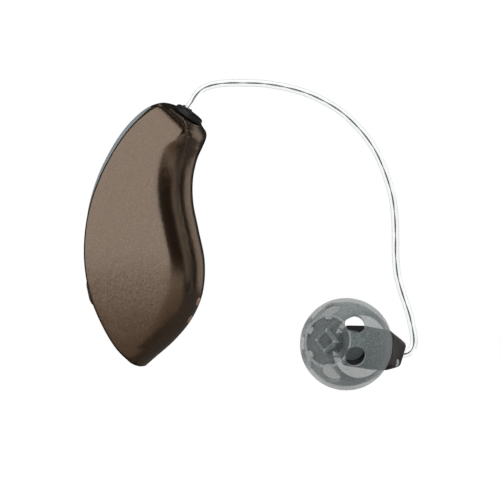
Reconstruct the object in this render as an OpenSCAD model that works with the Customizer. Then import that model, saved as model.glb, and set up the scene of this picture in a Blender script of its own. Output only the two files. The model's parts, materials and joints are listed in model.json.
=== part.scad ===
// Behind-the-ear hearing aid with a plug-in ear-canal receiver on a thin wire tube, for the left ear.
// The origin is the hollow of the housing's front edge, where the ear carries the instrument.
// X points to the front, Y away from the head and Z up.

/* [Housing] */
// Width of the housing, back to front
body_w = 13.4; // [12.4:0.1:14.6]
// Height of the housing, plug seat to tip
body_l = 30; // [28:0.5:33]
// Thickness of the housing, side to side
body_t = 7.6; // [7.4:0.1:9]
// Thickness of the moulded wall
wall = 0.7; // [0.5:0.05:0.8]
// Depth of the rounding along the front edge
front_round = 3.4; // [2.6:0.1:3.6]
// Radius of the two long edges at the back
back_round = 0.6; // [0.4:0.05:0.8]
// Width of the rim beside the spine cover
rim_w = 0.35; // [0.25:0.05:0.5]

/* [Spine cover] */
// Thickness of the cover at its edges
cover_t = 0.8; // [0.6:0.05:1]
// Height of the cover's crown over its edges
crown_h = 1.15; // [0.8:0.05:1.4]
// Radius of each microphone port
port_r = 0.32; // [0.2:0.02:0.45]

/* [Push button] */
// Length of the button along the spine
button_l = 3.4; // [2.8:0.1:4.2]
// Width of the button
button_w = 2.2; // [1.8:0.1:2.6]
// Height of the button above the cover's crown
button_proud = 0.3; // [0.25:0.05:0.5]
// Travel of the button when it is pressed
button_travel = 0.25; // [0.15:0.05:0.3]

/* [Power] */
// Radius of the rechargeable cell
cell_r = 3.9; // [3.4:0.1:4]
// Height of the cell
cell_h = 5.3; // [4.6:0.1:5.4]
// Radius of each charging contact
contact_r = 0.5; // [0.4:0.05:0.6]
// Height of a charging contact above the housing
contact_proud = 0.06; // [0.04:0.01:0.1]

/* [Receiver plug] */
// Length of the plug's cover plate, front to back
plate_l = 3.5; // [3.2:0.1:3.8]
// Width of the plug's cover plate
plate_w = 3; // [2.8:0.1:3.2]
// Thickness of the plug's cover plate
plate_t = 0.55; // [0.4:0.05:0.8]
// Length of the plug's shank inside the socket
shank_l = 3; // [2.6:0.1:3.4]

/* [Wire tube] */
// Outer diameter of the tube
tube_d = 0.8; // [0.7:0.05:1]
// Diameter of the bundle of conductors inside it
core_d = 0.3; // [0.2:0.02:0.34]

/* [Wire route] */
// Reach of the wire forwards, from the plug to the receiver
wire_reach = 25.2; // [24:0.1:26.5]
// Drop of the wire from the plug to the receiver
wire_drop = 27.8; // [26.5:0.1:29]
// Offset of the receiver towards the head
wire_offset = 1.8; // [1:0.1:2.4]

/* [Receiver] */
// Height of the receiver's case
case_h = 4.4; // [4:0.1:4.6]
// Width of the receiver's case
case_w = 3.2; // [3:0.1:3.6]
// Length of the receiver's case
case_l = 9.2; // [8.6:0.2:10.4]
// Thickness of the case's wall
case_wall = 0.3; // [0.24:0.02:0.36]
// Radius of the sound nozzle
nozzle_r = 1.1; // [1:0.05:1.2]
// Length of the sound nozzle
nozzle_l = 2.6; // [2.2:0.1:3]

/* [Dome] */
// Radius of the soft dome
dome_r = 5; // [4.6:0.1:6]
// Thickness of the dome's skin
skin_t = 0.45; // [0.35:0.05:0.6]
// Radius of each vent hole
vent_r = 1.1; // [0.8:0.1:1.2]

/* [Hidden] */

// Shared values
over = 0.02;
fit = 0.05;
gap = 0.15;
half_t = body_t / 2;
tau = 360;

// The back and front edge from the plug seat to the tip: shares of body_w and of body_l
back_shares = [
    [-0.14, 0.306], [-0.215, 0.317], [-0.342, 0.278], [-0.522, 0.196], [-0.7, 0.075], [-0.818, -0.048],
    [-0.876, -0.165], [-0.886, -0.287], [-0.846, -0.41], [-0.758, -0.517], [-0.64, -0.613],
    [-0.52, -0.672], [-0.45, -0.69]
];
front_shares = [
    [0.082, 0.233], [0.106, 0.192], [0.076, 0.15], [0.036, 0.1], [0.002, 0.027], [0.006, -0.061],
    [0.055, -0.165], [0.111, -0.287], [0.095, -0.406], [-0.001, -0.506], [-0.164, -0.592],
    [-0.35, -0.66], [-0.43, -0.69]
];
// Half thickness at the same places, as shares of half_t
thick_shares = [0.66, 0.88, 0.97, 1, 1, 1, 1, 0.985, 0.91, 0.81, 0.68, 0.5, 0.22];
// Height of the back's crown at the same places, as shares of crown_h
crown_shares = [0.02, 0.1, 0.6, 0.95, 1, 0.92, 0.85, 0.8, 0.75, 0.65, 0.45, 0.25, 0.1];

// Depth of the front's rounding at the same places, as shares of front_round
nose_shares = [0.4, 0.42, 0.56, 0.96, 1, 1, 1, 1, 1, 1, 1, 1, 1];

// Places along the housing, counted in the rows of the tables above
seat_row = 0;
open_row = 1.6;
close_row = 9.8;
last_row = len(back_shares) - 1;
end_steps = 4;
mid_steps = 26;
tip_steps = 5;

// Smooth curve through a table, at place t counted in rows
function blend4(a, b, c, d, u) =
    0.5 * (2 * b + (c - a) * u + (2 * a - 5 * b + 4 * c - d) * u * u + (3 * b - a - 3 * c + d) * u * u * u);
function along(table, t) =
    let (n = len(table) - 1, i = max(0, min(floor(t), n - 1)))
    blend4(table[max(i - 1, 0)], table[i], table[i + 1], table[min(i + 2, n)], t - i);
function sized(s) = [s[0] * body_w, s[1] * body_l];
function back_at(t) = sized(along(back_shares, t));
function front_at(t) = sized(along(front_shares, t));
function thick_at(t) = half_t * along(thick_shares, t);
function crown_at(t) = crown_h * along(crown_shares, t);
function unit(v) = v / norm(v);

// A point of the section at row t: p runs from the back edge to the front edge, y across
function section_point(t, p, y) =
    let (b = back_at(t), d = unit(front_at(t) - b))
    [b[0] + d[0] * p, y, b[1] + d[1] * p];
function section_w(t) = norm(front_at(t) - back_at(t));

// Half of the outer outline of a section, from the back rim to the nose: [p, y]
front_steps = 7;
back_steps = 3;
nose_limit_share = 0.62;
edge_share = 0.2;
function nose_depth(t) =
    min(front_round * along(nose_shares, t), nose_limit_share * section_w(t));
function edge_r(t) = min(back_round, edge_share * section_w(t));
function half_outer(t) =
    let (h = thick_at(t), r = edge_r(t), a = nose_depth(t), w = section_w(t))
    concat(
        [for (i = [0 : back_steps]) let (q = 90 * i / back_steps) [r - r * cos(q), h - r + r * sin(q)]],
        [for (i = [0 : front_steps]) let (q = 90 - 90 * i / front_steps) [w - a + a * cos(q), h * sin(q)]]
    );
// Half of the inner outline, from the lip under the rim to the inside of the nose
lip_d = 0.9;
lip_step = 0.35;
function rim_y(t) = thick_at(t) - edge_r(t) - rim_w;
function half_inner(t) =
    let (h = thick_at(t) - wall, a = nose_depth(t) - wall / 2, w = section_w(t) - wall)
    concat(
        [[0, rim_y(t)], [lip_d, rim_y(t)], [lip_d + lip_step, h]],
        [for (i = [0 : front_steps]) let (q = 90 - 90 * i / front_steps) [w - a + a * cos(q), h * sin(q)]]
    );
// The other half mirrored, so that the list runs from one rim round the nose to the other rim
function both(half) = concat(half, [for (i = [len(half) - 2 : -1 : 0]) [half[i][0], -half[i][1]]]);
// The crown between the two back edges, from the far rim back to the first
crown_steps = 8;
function crown_arc(t, y_edge, inset) =
    [for (i = [1 : crown_steps - 1]) let (c = 2 * i / crown_steps - 1)
        [inset - crown_at(t) * (1 - c * c), y_edge * c]];

function lift(t, points) = [for (q = points) section_point(t, q[0], q[1])];

// Rows at which the shell has a section: the closed top, the open middle and the closed tip
top_rows = [for (i = [0 : end_steps - 1]) seat_row + (open_row - seat_row) * i / end_steps];
mid_rows = [for (i = [0 : mid_steps]) open_row + (close_row - open_row) * i / mid_steps];
tip_rows = [for (i = [1 : tip_steps]) close_row + (last_row - close_row) * i / tip_steps];
all_rows = concat(top_rows, mid_rows, tip_rows);

outer_n = len(both(half_outer(open_row)));
crown_n = crown_steps - 1;
ring_n = outer_n + crown_n;
inner_n = len(both(half_inner(open_row)));

function quad(a, b, c, d) = [[a, b, c], [a, c, d]];
function flat_list(lists) = [for (l = lists) for (v = l) v];

// Faces across a ring that is the same on both sides, joined point to mirrored point
function across(first, n) =
    flat_list([for (j = [0 : floor((n - 1) / 2) - 1])
        let (a = first + j, b = first + j + 1, c = first + n - 2 - j, d = first + n - 1 - j)
        b == c ? [[a, b, d]] : quad(a, b, c, d)]);
function flip(faces) = [for (f = faces) [f[2], f[1], f[0]]];

module shell_solid() {
    rows = len(all_rows);
    outer = flat_list([for (t = all_rows)
        lift(t, concat(both(half_outer(t)), crown_arc(t, -rim_y(t), 0)))]);
    inner = flat_list([for (t = mid_rows) lift(t, both(half_inner(t)))]);
    first = end_steps;
    last = end_steps + mid_steps;
    base = rows * ring_n;
    function o(s, j) = s * ring_n + (j % ring_n);
    function n(s, j) = base + s * inner_n + j;
    function open_here(s) = s >= first && s < last;
    skin = flat_list([for (s = [0 : rows - 2]) for (j = [0 : ring_n - 1])
        if (j < outer_n - 1 || !open_here(s))
            quad(o(s, j), o(s + 1, j), o(s + 1, j + 1), o(s, j + 1))]);
    lining = flat_list([for (s = [0 : mid_steps - 1]) for (j = [0 : inner_n - 2])
        quad(n(s, j), n(s, j + 1), n(s + 1, j + 1), n(s + 1, j))]);
    rims = flat_list([for (s = [0 : mid_steps - 1]) concat(
        quad(o(first + s, 0), n(s, 0), n(s + 1, 0), o(first + s + 1, 0)),
        quad(n(s, inner_n - 1), o(first + s, outer_n - 1),
            o(first + s + 1, outer_n - 1), n(s + 1, inner_n - 1)))]);
    // End walls of the cavity, with the step of the crown over them
    function wall_end(s, k) = concat(
        across(base + k * inner_n, inner_n),
        across(o(s, outer_n), crown_n),
        [[n(k, 0), o(s, outer_n + crown_n - 1), o(s, 0)],
         [n(k, 0), n(k, inner_n - 1), o(s, outer_n + crown_n - 1)],
         [n(k, inner_n - 1), o(s, outer_n), o(s, outer_n + crown_n - 1)],
         [n(k, inner_n - 1), o(s, outer_n - 1), o(s, outer_n)]]);
    function cap(s) = concat(
        across(o(s, 0), outer_n),
        across(o(s, outer_n), crown_n),
        quad(o(s, 0), o(s, outer_n - 1), o(s, outer_n), o(s, outer_n + crown_n - 1)));
    polyhedron(
        points = concat(outer, inner),
        faces = concat(skin, lining, rims, cap(0), flip(cap(rows - 1)),
            flip(wall_end(first, 0)), wall_end(last, mid_steps))
    );
}

// Frames: each puts the children's Z axis square to a surface, pointing outwards
nudge_share = 0.05;
function slope(table, t) = unit(sized(along(table, t + nudge_share)) - sized(along(table, t - nudge_share)));
function spine_angle(t) = let (s = slope(back_shares, t)) atan2(s[1], -s[0]);
function front_angle(t) = let (s = slope(front_shares, t)) atan2(-s[1], s[0]);
module on_spine(t) {
    translate([back_at(t)[0], 0, back_at(t)[1]]) rotate([0, spine_angle(t), 0]) children();
}
module on_front(t) {
    translate([front_at(t)[0], 0, front_at(t)[1]]) rotate([0, front_angle(t), 0]) children();
}
seat_a = back_at(seat_row);
seat_b = front_at(seat_row);
seat_mid = (seat_a + seat_b) / 2;
seat_tilt = atan2(seat_a[1] - seat_b[1], seat_b[0] - seat_a[0]);
module on_seat() {
    translate([seat_mid[0], 0, seat_mid[1]]) rotate([0, seat_tilt, 0]) children();
}

// Plain solids used by several pieces
module block(size, at = [0, 0, 0]) {
    translate([at[0] - size[0] / 2, at[1] - size[1] / 2, at[2]]) cube(size);
}
module disc(r, from, to) {
    translate([0, 0, from]) cylinder(r = r, h = to - from, $fn = 48);
}
module ring(r_out, r_in, from, to) {
    difference() {
        disc(r_out, from, to);
        disc(r_in, from - over, to + over);
    }
}
// A bar with round ends along X
module slot_bar(length, width, from, to) {
    union() {
        block([length - width, width, to - from], [0, 0, from]);
        for (side = [-1, 1]) translate([side * (length - width) / 2, 0, 0]) disc(width / 2, from, to);
    }
}
// A bar with four round edges along Z
module round_bar(w, h, r, from, to) {
    union() {
        block([w - 2 * r, h, to - from], [0, 0, from]);
        block([w, h - 2 * r, to - from], [0, 0, from]);
        for (a = [-1, 1]) for (b = [-1, 1])
            translate([a * (w / 2 - r), b * (h / 2 - r), 0]) disc(r, from, to);
    }
}

// Housing

// Plug, socket and opening share these sizes
shank_w = 2.2;
shank_d = 1.3;
socket_wall = 0.35;
socket_drop = 0.35;
socket_floor = 0.4;
socket_w = shank_w + 2 * (fit + socket_wall);
socket_d = shank_d + 2 * (fit + socket_wall);

// Rows of the charging contacts on the front edge, the microphones and the button on the spine
contact_row_shares = [8.32, 9.02];
mic_row_shares = [3.2, 4.9];
button_row = 7.9;

module body_shell() {
    color([0.36, 0.29, 0.24]) difference() {
        shell_solid();
        on_seat() block([socket_w + 2 * fit, socket_d + 2 * fit, body_t], [0, 0, -body_t / 2]);
        for (t = contact_row_shares) on_front(t) disc(contact_r + fit, -2 * wall, wall);
    }
}

// Crowned strip that closes the open back of the shell
cover_gap_share = 0.03;
cover_rows_n = 24;
module cover_solid() {
    rows = [for (i = [0 : cover_rows_n])
        open_row + cover_gap_share + (close_row - open_row - 2 * cover_gap_share) * i / cover_rows_n];
    function edge(t) = rim_y(t) - fit;
    function outline(t) = concat(
        [[0, -edge(t)]], crown_arc(t, edge(t), 0), [[0, edge(t)], [cover_t, edge(t)], [cover_t, -edge(t)]]);
    n = len(outline(open_row));
    m = crown_steps;
    points = flat_list([for (t = rows) lift(t, outline(t))]);
    function o(s, j) = s * n + (j % n);
    sides = flat_list([for (s = [0 : cover_rows_n - 1]) for (j = [0 : n - 1])
        quad(o(s, j), o(s + 1, j), o(s + 1, j + 1), o(s, j + 1))]);
    function cap(s) = concat(
        across(o(s, 0), m + 1),
        quad(o(s, 0), o(s, m), o(s, m + 1), o(s, m + 2)));
    polyhedron(points = points, faces = concat(sides, cap(0), flip(cap(cover_rows_n))));
}
module spine_cover() {
    color([0.5, 0.54, 0.53]) difference() {
        cover_solid();
        for (t = mic_row_shares) on_spine(t) disc(port_r, -2 * cover_t, 2 * crown_h);
        on_spine(button_row) slot_bar(button_l + 2 * fit, button_w + 2 * fit, -2 * cover_t, 2 * crown_h);
    }
}

// Stack under each port: screen, gasket, microphone
screen_r = 0.6;
screen_t = 0.08;
gasket_r = 0.95;
gasket_t = 0.3;
mic_l = 3;
mic_w = 2.2;
mic_h = 1;
mic_hole_r = 0.25;
screen_z = -cover_t - fit - screen_t;
gasket_z = screen_z - gasket_t;
mic_z = gasket_z - mic_h;
module mic_screens() {
    color([0.3, 0.3, 0.31]) for (t = mic_row_shares)
        on_spine(t) disc(screen_r, screen_z, screen_z + screen_t);
}
module mic_gaskets() {
    color([0.12, 0.12, 0.12]) for (t = mic_row_shares) on_spine(t) ring(gasket_r, port_r, gasket_z, screen_z);
}
module microphone(t) {
    on_spine(t) difference() {
        block([mic_l, mic_w, mic_h], [0, 0, mic_z]);
        disc(mic_hole_r, gasket_z - mic_h / 3, gasket_z + over);
    }
}
module microphone_front() {
    color([0.75, 0.72, 0.6]) microphone(mic_row_shares[0]);
}
module microphone_rear() {
    color([0.75, 0.72, 0.6]) microphone(mic_row_shares[1]);
}

// Frame that carries the inside
chassis_t = 1;
chassis_back = 2.5;
chassis_front = 1.9;
chassis_row_shares = [2.8, 9.2];
chassis_steps = 12;
cell_shares = [-0.373, -0.29];
cell_x = cell_shares[0] * body_w;
cell_z = cell_shares[1] * body_l;
module plate_between(rows, steps, back_inset, front_inset, from, to) {
    ts = [for (i = [0 : steps]) rows[0] + (rows[1] - rows[0]) * i / steps];
    function flat(q) = [q[0], -q[2]];
    outline = concat(
        [for (t = ts) flat(section_point(t, back_inset, 0))],
        [for (i = [steps : -1 : 0]) flat(section_point(ts[i], section_w(ts[i]) - front_inset, 0))]);
    translate([0, from, 0]) rotate([-90, 0, 0]) linear_extrude(height = to - from) polygon(outline);
}
module cell_place(r, from, to) {
    translate([cell_x, 0, cell_z]) rotate([-90, 0, 0]) disc(r, from, to);
}
module chassis() {
    color([0.2, 0.2, 0.21]) difference() {
        plate_between(chassis_row_shares, chassis_steps, chassis_back, chassis_front,
            -chassis_t / 2, chassis_t / 2);
        cell_place(cell_r + gap, -chassis_t, chassis_t);
        on_seat() block([socket_w + 2 * gap, socket_d + 2 * gap, body_t], [0, 0, socket_bottom - gap]);
        on_spine(button_row) block([switch_l + gap, switch_w + gap, body_t], [0, 0, switch_z - fit]);
    }
}

// Circuit board and what is on it
board_t = 0.4;
board_row_shares = [3.6, 5.9];
board_back = 2.7;
board_front = 2;
board_y = chassis_t / 2 + board_t;
// Puts the children on the board: at a row and at a share of the section's width
module on_board(at_shares) {
    t = at_shares[0];
    q = section_point(t, section_w(t) * at_shares[1], board_y);
    translate(q) rotate([-90, 0, 0]) children();
}
module circuit_board() {
    color([0.1, 0.35, 0.2])
        plate_between(board_row_shares, chassis_steps / 2, board_back, board_front, chassis_t / 2, board_y);
}
processor_shares = [5.15, 0.5];
processor_l = 3.6;
processor_w = 2.8;
processor_h = 0.9;
module sound_processor() {
    color([0.13, 0.13, 0.14]) on_board(processor_shares) block([processor_l, processor_w, processor_h]);
}
radio_shares = [4.15, 0.56];
radio_l = 2;
radio_h = 0.7;
module radio_chip() {
    color([0.2, 0.2, 0.22]) on_board(radio_shares) block([radio_l, radio_l, radio_h]);
}
memory_shares = [5.65, 0.75];
memory_l = 1.4;
memory_h = 0.6;
module memory_chip() {
    color([0.16, 0.16, 0.18]) on_board(memory_shares) block([memory_l, memory_l, memory_h]);
}
chip_l = 0.6;
chip_w = 0.35;
chip_place_shares = [
    [4.15, 0.4], [4.4, 0.4], [4.4, 0.72], [4.65, 0.72], [5.78, 0.33], [5.78, 0.42], [5.78, 0.62]
];
module small_components() {
    color([0.6, 0.5, 0.35]) for (place = chip_place_shares) on_board(place) block([chip_w, chip_l, chip_w]);
}

// Near-field coil on the other side of the frame
coil_l = 4.6;
coil_r = 0.85;
core_r = 0.4;
coil_flange = 0.35;
coil_shares = [-0.388, -0.08];
coil_x = coil_shares[0] * body_w;
coil_z = coil_shares[1] * body_l;
coil_y = -chassis_t / 2 - coil_r - fit;
module coil_place() {
    translate([coil_x, coil_y, coil_z]) rotate([0, 90, 0]) children();
}
module coil_core() {
    color([0.25, 0.25, 0.27]) coil_place() union() {
        disc(core_r, -coil_l / 2, coil_l / 2);
        disc(coil_r, -coil_l / 2 - coil_flange, -coil_l / 2);
        disc(coil_r, coil_l / 2, coil_l / 2 + coil_flange);
    }
}
module coil_winding() {
    color([0.72, 0.42, 0.24])
        coil_place() ring(coil_r - fit, core_r + fit / 2, -coil_l / 2 + fit, coil_l / 2 - fit);
}
antenna_t = 0.12;
antenna_row_shares = [3.3, 4.4];
module antenna() {
    color([0.75, 0.5, 0.25]) plate_between(antenna_row_shares, chassis_steps / 2, board_back, board_front,
        -chassis_t / 2 - antenna_t, -chassis_t / 2);
}

// Power
module battery_cell() {
    color([0.75, 0.76, 0.78]) cell_place(cell_r, -cell_h / 2, cell_h / 2);
}
tab_w = 1.2;
tab_t = 0.15;
tab_rise = 0.6;
module battery_tab(side, reach) {
    top = cell_z + cell_r + tab_rise;
    near = min(side * cell_h / 2, side * (cell_h / 2 + tab_t));
    union() {
        translate([cell_x - tab_w / 2, near, cell_z]) cube([tab_w, tab_t, top - cell_z]);
        translate([cell_x - tab_w / 2, side > 0 ? reach : -cell_h / 2, top - tab_t])
            cube([tab_w, cell_h / 2 - reach, tab_t]);
    }
}
module battery_tab_positive() {
    color([0.8, 0.78, 0.7]) battery_tab(1, board_y);
}
module battery_tab_negative() {
    color([0.8, 0.78, 0.7]) battery_tab(-1, chassis_t / 2);
}
flange_r = 0.75;
flange_t = 0.2;
seal_t = 0.1;
seal_drop = 0.12;
spring_r = 0.3;
spring_l = 0.4;
flange_z = -wall - seal_drop - seal_t - flange_t;
module charge_contact(t) {
    on_front(t) union() {
        disc(contact_r, flange_z, contact_proud);
        disc(flange_r, flange_z, flange_z + flange_t);
    }
}
module charge_contact_upper() {
    color([0.78, 0.52, 0.36]) charge_contact(contact_row_shares[0]);
}
module charge_contact_lower() {
    color([0.78, 0.52, 0.36]) charge_contact(contact_row_shares[1]);
}
module contact_seals() {
    color([0.1, 0.1, 0.1]) for (t = contact_row_shares)
        on_front(t) ring(flange_r, contact_r, -wall - seal_drop - seal_t, -wall - seal_drop);
}
module contact_springs() {
    color([0.8, 0.7, 0.4]) for (t = contact_row_shares)
        on_front(t) disc(spring_r, flange_z - spring_l, flange_z);
}

// Button stack, from the spine inwards
button_flange = 0.25;
button_flange_t = 0.2;
button_slack = 0.25;
membrane_t = 0.15;
snap_r = 0.8;
snap_t = 0.12;
switch_l = 2.2;
switch_w = 1.8;
switch_h = 0.5;
button_top = crown_at(button_row) + button_proud;
// The button's face is part of a ball that falls by button_proud at its ends
button_ball_r = (pow(button_l / 2, 2) + pow(button_proud, 2)) / (2 * button_proud);
button_foot = -cover_t - button_slack - button_flange_t;
membrane_z = button_foot - button_travel - fit - membrane_t;
snap_z = membrane_z - snap_t;
switch_z = snap_z - switch_h;
module push_button() {
    color([0.3, 0.31, 0.32]) on_spine(button_row) union() {
        intersection() {
            slot_bar(button_l, button_w, button_foot, button_top);
            translate([0, 0, button_top - button_ball_r]) sphere(r = button_ball_r, $fn = 96);
        }
        slot_bar(button_l + 2 * button_flange, button_w + 2 * button_flange, button_foot,
            button_foot + button_flange_t);
    }
}
module button_seal() {
    color([0.1, 0.1, 0.1])
        on_spine(button_row) slot_bar(button_l, button_w, membrane_z, membrane_z + membrane_t);
}
module switch_dome() {
    color([0.8, 0.8, 0.8]) on_spine(button_row) disc(snap_r, snap_z, membrane_z);
}
module tact_switch() {
    color([0.15, 0.15, 0.16]) on_spine(button_row) block([switch_l, switch_w, switch_h], [0, 0, switch_z]);
}

// Socket for the receiver's plug, with three spring strips in its wall
pin_n = 3;
pin_w = 0.35;
pin_pitch = 0.65;
pin_t = 0.12;
pin_l = 1.5;
socket_bottom = -shank_l - fit - socket_floor;
module pins(y_from, y_to, z_from, z_to, slack) {
    for (i = [0 : pin_n - 1])
        translate([(i - (pin_n - 1) / 2) * pin_pitch - pin_w / 2 - slack, y_from, z_from])
        cube([pin_w + 2 * slack, y_to - y_from, z_to - z_from]);
}
module receiver_socket() {
    color([0.08, 0.08, 0.08]) on_seat() difference() {
        block([socket_w, socket_d, -socket_drop - socket_bottom], [0, 0, socket_bottom]);
        block([shank_w + 2 * fit, shank_d + 2 * fit, shank_l], [0, 0, -shank_l - fit]);
        pins(shank_d / 2 + fit - over, socket_d / 2 + over, -shank_l, -shank_l + pin_l, 0);
    }
}
module socket_contacts() {
    color([0.8, 0.65, 0.3]) on_seat()
        pins(shank_d / 2 + fit, socket_d / 2 + pin_t, -shank_l, -shank_l + pin_l, 0);
}

// Receiver unit: the plug, the wire tube and the receiver move together when the plug is drawn

plate_gap = 0.05;
collar_r = 0.62;
collar_h = 0.28;
exit_shift = 0.55;
seal_ring_w = 0.2;
seal_ring_t = 0.2;
module plug_body() {
    color([0.1, 0.1, 0.1]) on_seat() difference() {
        union() {
            slot_bar(plate_l, plate_w, plate_gap, plate_gap + plate_t);
            block([shank_w, shank_d, shank_l + plate_gap + over], [0, 0, -shank_l]);
            translate([-exit_shift, 0, 0])
                disc(collar_r, plate_gap + plate_t - over, plate_gap + plate_t + collar_h);
        }
        pins(shank_d / 2 - pin_t, shank_d / 2 + over, -shank_l + pin_w, -shank_l + pin_l, 0);
    }
}
module plug_contacts() {
    color([0.8, 0.65, 0.3])
        on_seat() pins(shank_d / 2 - pin_t, shank_d / 2, -shank_l + pin_w, -shank_l + pin_l, 0);
}
module plug_seal() {
    color([0.3, 0.3, 0.3]) on_seat() difference() {
        block([shank_w + 2 * seal_ring_w, shank_d + 2 * seal_ring_w, seal_ring_t], [0, 0, -seal_ring_t]);
        block([shank_w, shank_d, 2 * seal_ring_t], [0, 0, -1.5 * seal_ring_t]);
    }
}

// Top of the plug's collar, where the tube leaves it
function seat_point(x, z) =
    [seat_mid[0] + x * cos(seat_tilt) + z * sin(seat_tilt), 0,
        seat_mid[1] - x * sin(seat_tilt) + z * cos(seat_tilt)];
tube_start = seat_point(-exit_shift, plate_gap + plate_t + collar_h);

// Receiver's frame: the middle of its rear face, its turn and its rise; Z runs to the ear drum
receiver_at = tube_start + [wire_reach, -wire_offset, -wire_drop];
receiver_turn = -12.5;
receiver_rise = 6.5;
module on_receiver() {
    translate(receiver_at) rotate([90 - receiver_rise, 0, receiver_turn]) children();
}

// Route of the wire tube from the collar to the receiver: shares of its reach, its offset and its drop
route_shares = [
    [0, 0, 0], [0.02, 0, 0.024], [0.032, 0, 0.042], [0.048, 0, 0.06], [0.072, 0, 0.077],
    [0.107, 0, 0.089], [0.147, 0, 0.096], [0.203, 0, 0.099], [0.258, 0, 0.098], [0.365, 0, 0.093],
    [0.476, 0, 0.075], [0.587, 0, 0.044], [0.699, 0, -0.008], [0.774, 0, -0.06], [0.845, 0, -0.128],
    [0.897, 0, -0.198], [0.94, 0, -0.286], [0.968, 0, -0.369], [0.98, 0, -0.446], [0.984, 0, -0.526],
    [0.984, 0, -0.601], [0.99, 0, -0.671], [1.002, 0, -0.723], [1.024, 0, -0.786], [1.048, 0, -0.849],
    [1.063, 0, -0.908], [1.069, 0, -0.946], [1.067, 0, -0.971], [1.059, -0.011, -0.989],
    [1.046, -0.067, -1.002], [1.03, -0.156, -1.007], [1.016, -0.322, -1.006], [1.007, -0.567, -1.003],
    [1, -1, -1]
];
tube_route = [for (s = route_shares) tube_start + [s[0] * wire_reach, s[1] * wire_offset, s[2] * wire_drop]];
tube_sides = 8;
core_slack = 0.03;
tube_bore_r = core_d / 2 + core_slack;
function carry(v, t) = unit(v - (v * t) * t);
function heading(route, i) =
    let (n = len(route) - 1)
    i == 0 ? unit(route[1] - route[0]) : i == n ? unit(route[n] - route[n - 1])
        : unit(unit(route[i + 1] - route[i]) + unit(route[i] - route[i - 1]));
function side_axes(route, i, v) =
    i >= len(route) ? [] : let (s = carry(v, heading(route, i))) concat([s], side_axes(route, i + 1, s));
function tube_points(route, r) =
    let (axes = side_axes(route, 0, [0, 1, 0]))
    [for (i = [0 : len(route) - 1])
        let (t = heading(route, i), u = axes[i], v = cross(t, u))
        for (k = [0 : tube_sides - 1])
            let (q = tau * (k + 0.5) / tube_sides) route[i] + r * (cos(q) * u + sin(q) * v)];
function tube_skin(base, rings) =
    flat_list([for (i = [0 : rings - 2]) for (k = [0 : tube_sides - 1])
        let (a = base + i * tube_sides, b = a + tube_sides, j = (k + 1) % tube_sides)
        quad(a + k, a + j, b + j, b + k)]);
module solid_tube(route, r) {
    n = len(route);
    disc_face = [for (k = [0 : tube_sides - 1]) k];
    polyhedron(
        points = tube_points(route, r),
        faces = concat(flip(tube_skin(0, n)),
            [disc_face], [[for (k = [tube_sides - 1 : -1 : 0]) (n - 1) * tube_sides + k]])
    );
}
module hollow_tube(route, r_out, r_in) {
    n = len(route);
    inner = n * tube_sides;
    function end_ring(i) = flat_list([for (k = [0 : tube_sides - 1])
        let (a = i * tube_sides, j = (k + 1) % tube_sides)
        quad(a + k, a + j, inner + a + j, inner + a + k)]);
    polyhedron(
        points = concat(tube_points(route, r_out), tube_points(route, r_in)),
        faces = concat(flip(tube_skin(0, n)), tube_skin(inner, n), end_ring(0), flip(end_ring(n - 1)))
    );
}
module wire_tube() {
    color([0.85, 0.88, 0.88]) hollow_tube(tube_route, tube_d / 2, tube_bore_r);
}
module wire_core() {
    color([0.3, 0.3, 0.3]) solid_tube(tube_route, core_d / 2);
}

// Receiver's case in two parts, joined round the driver
case_r = 0.7;
rear_step_h = 0.7;
rear_step_w = 0.4;
rear_h = case_h - 2 * rear_step_h;
rear_w = case_w - 2 * rear_step_w;
rear_r = 0.6;
rear_l = 3.4;
rear_floor = 0.6;
cushion_t = 0.2;
front_floor = 0.6;
driver_z = 1.5;
driver_room_w = 0.25;
driver_room_h = 0.45;
driver_room_l = 0.9;
driver_w = case_w - 2 * (case_wall + driver_room_w);
driver_h = case_h - 2 * (case_wall + driver_room_h);
driver_l = case_l - driver_z - front_floor - driver_room_l;
module case_rear() {
    color([0.12, 0.12, 0.12]) on_receiver() difference() {
        hull() {
            round_bar(rear_w, rear_h, rear_r, 0, over);
            round_bar(case_w - fit, case_h - fit, case_r, rear_l - over, rear_l);
        }
        round_bar(driver_w + 2 * fit, driver_h + 2 * fit, fit, rear_floor, rear_l + over);
        marker_place() disc(marker_r + fit / 2, -marker_t, marker_t);
    }
}
module case_front() {
    color([0.13, 0.13, 0.13]) on_receiver() difference() {
        union() {
            round_bar(case_w, case_h, case_r, rear_l, case_l);
            disc(nozzle_r, case_l - over, case_l + nozzle_l);
        }
        round_bar(case_w - 2 * case_wall, case_h - 2 * case_wall,
            case_r - case_wall, rear_l - over, case_l - front_floor);
        disc(bore_r, case_l - 2 * front_floor, case_l + nozzle_l + over);
    }
}
bore_r = 0.75;
marker_r = 0.42;
marker_t = 0.2;
marker_z = 1.55;
marker_share = 0.35;
marker_y = -marker_share * rear_h;
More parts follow.
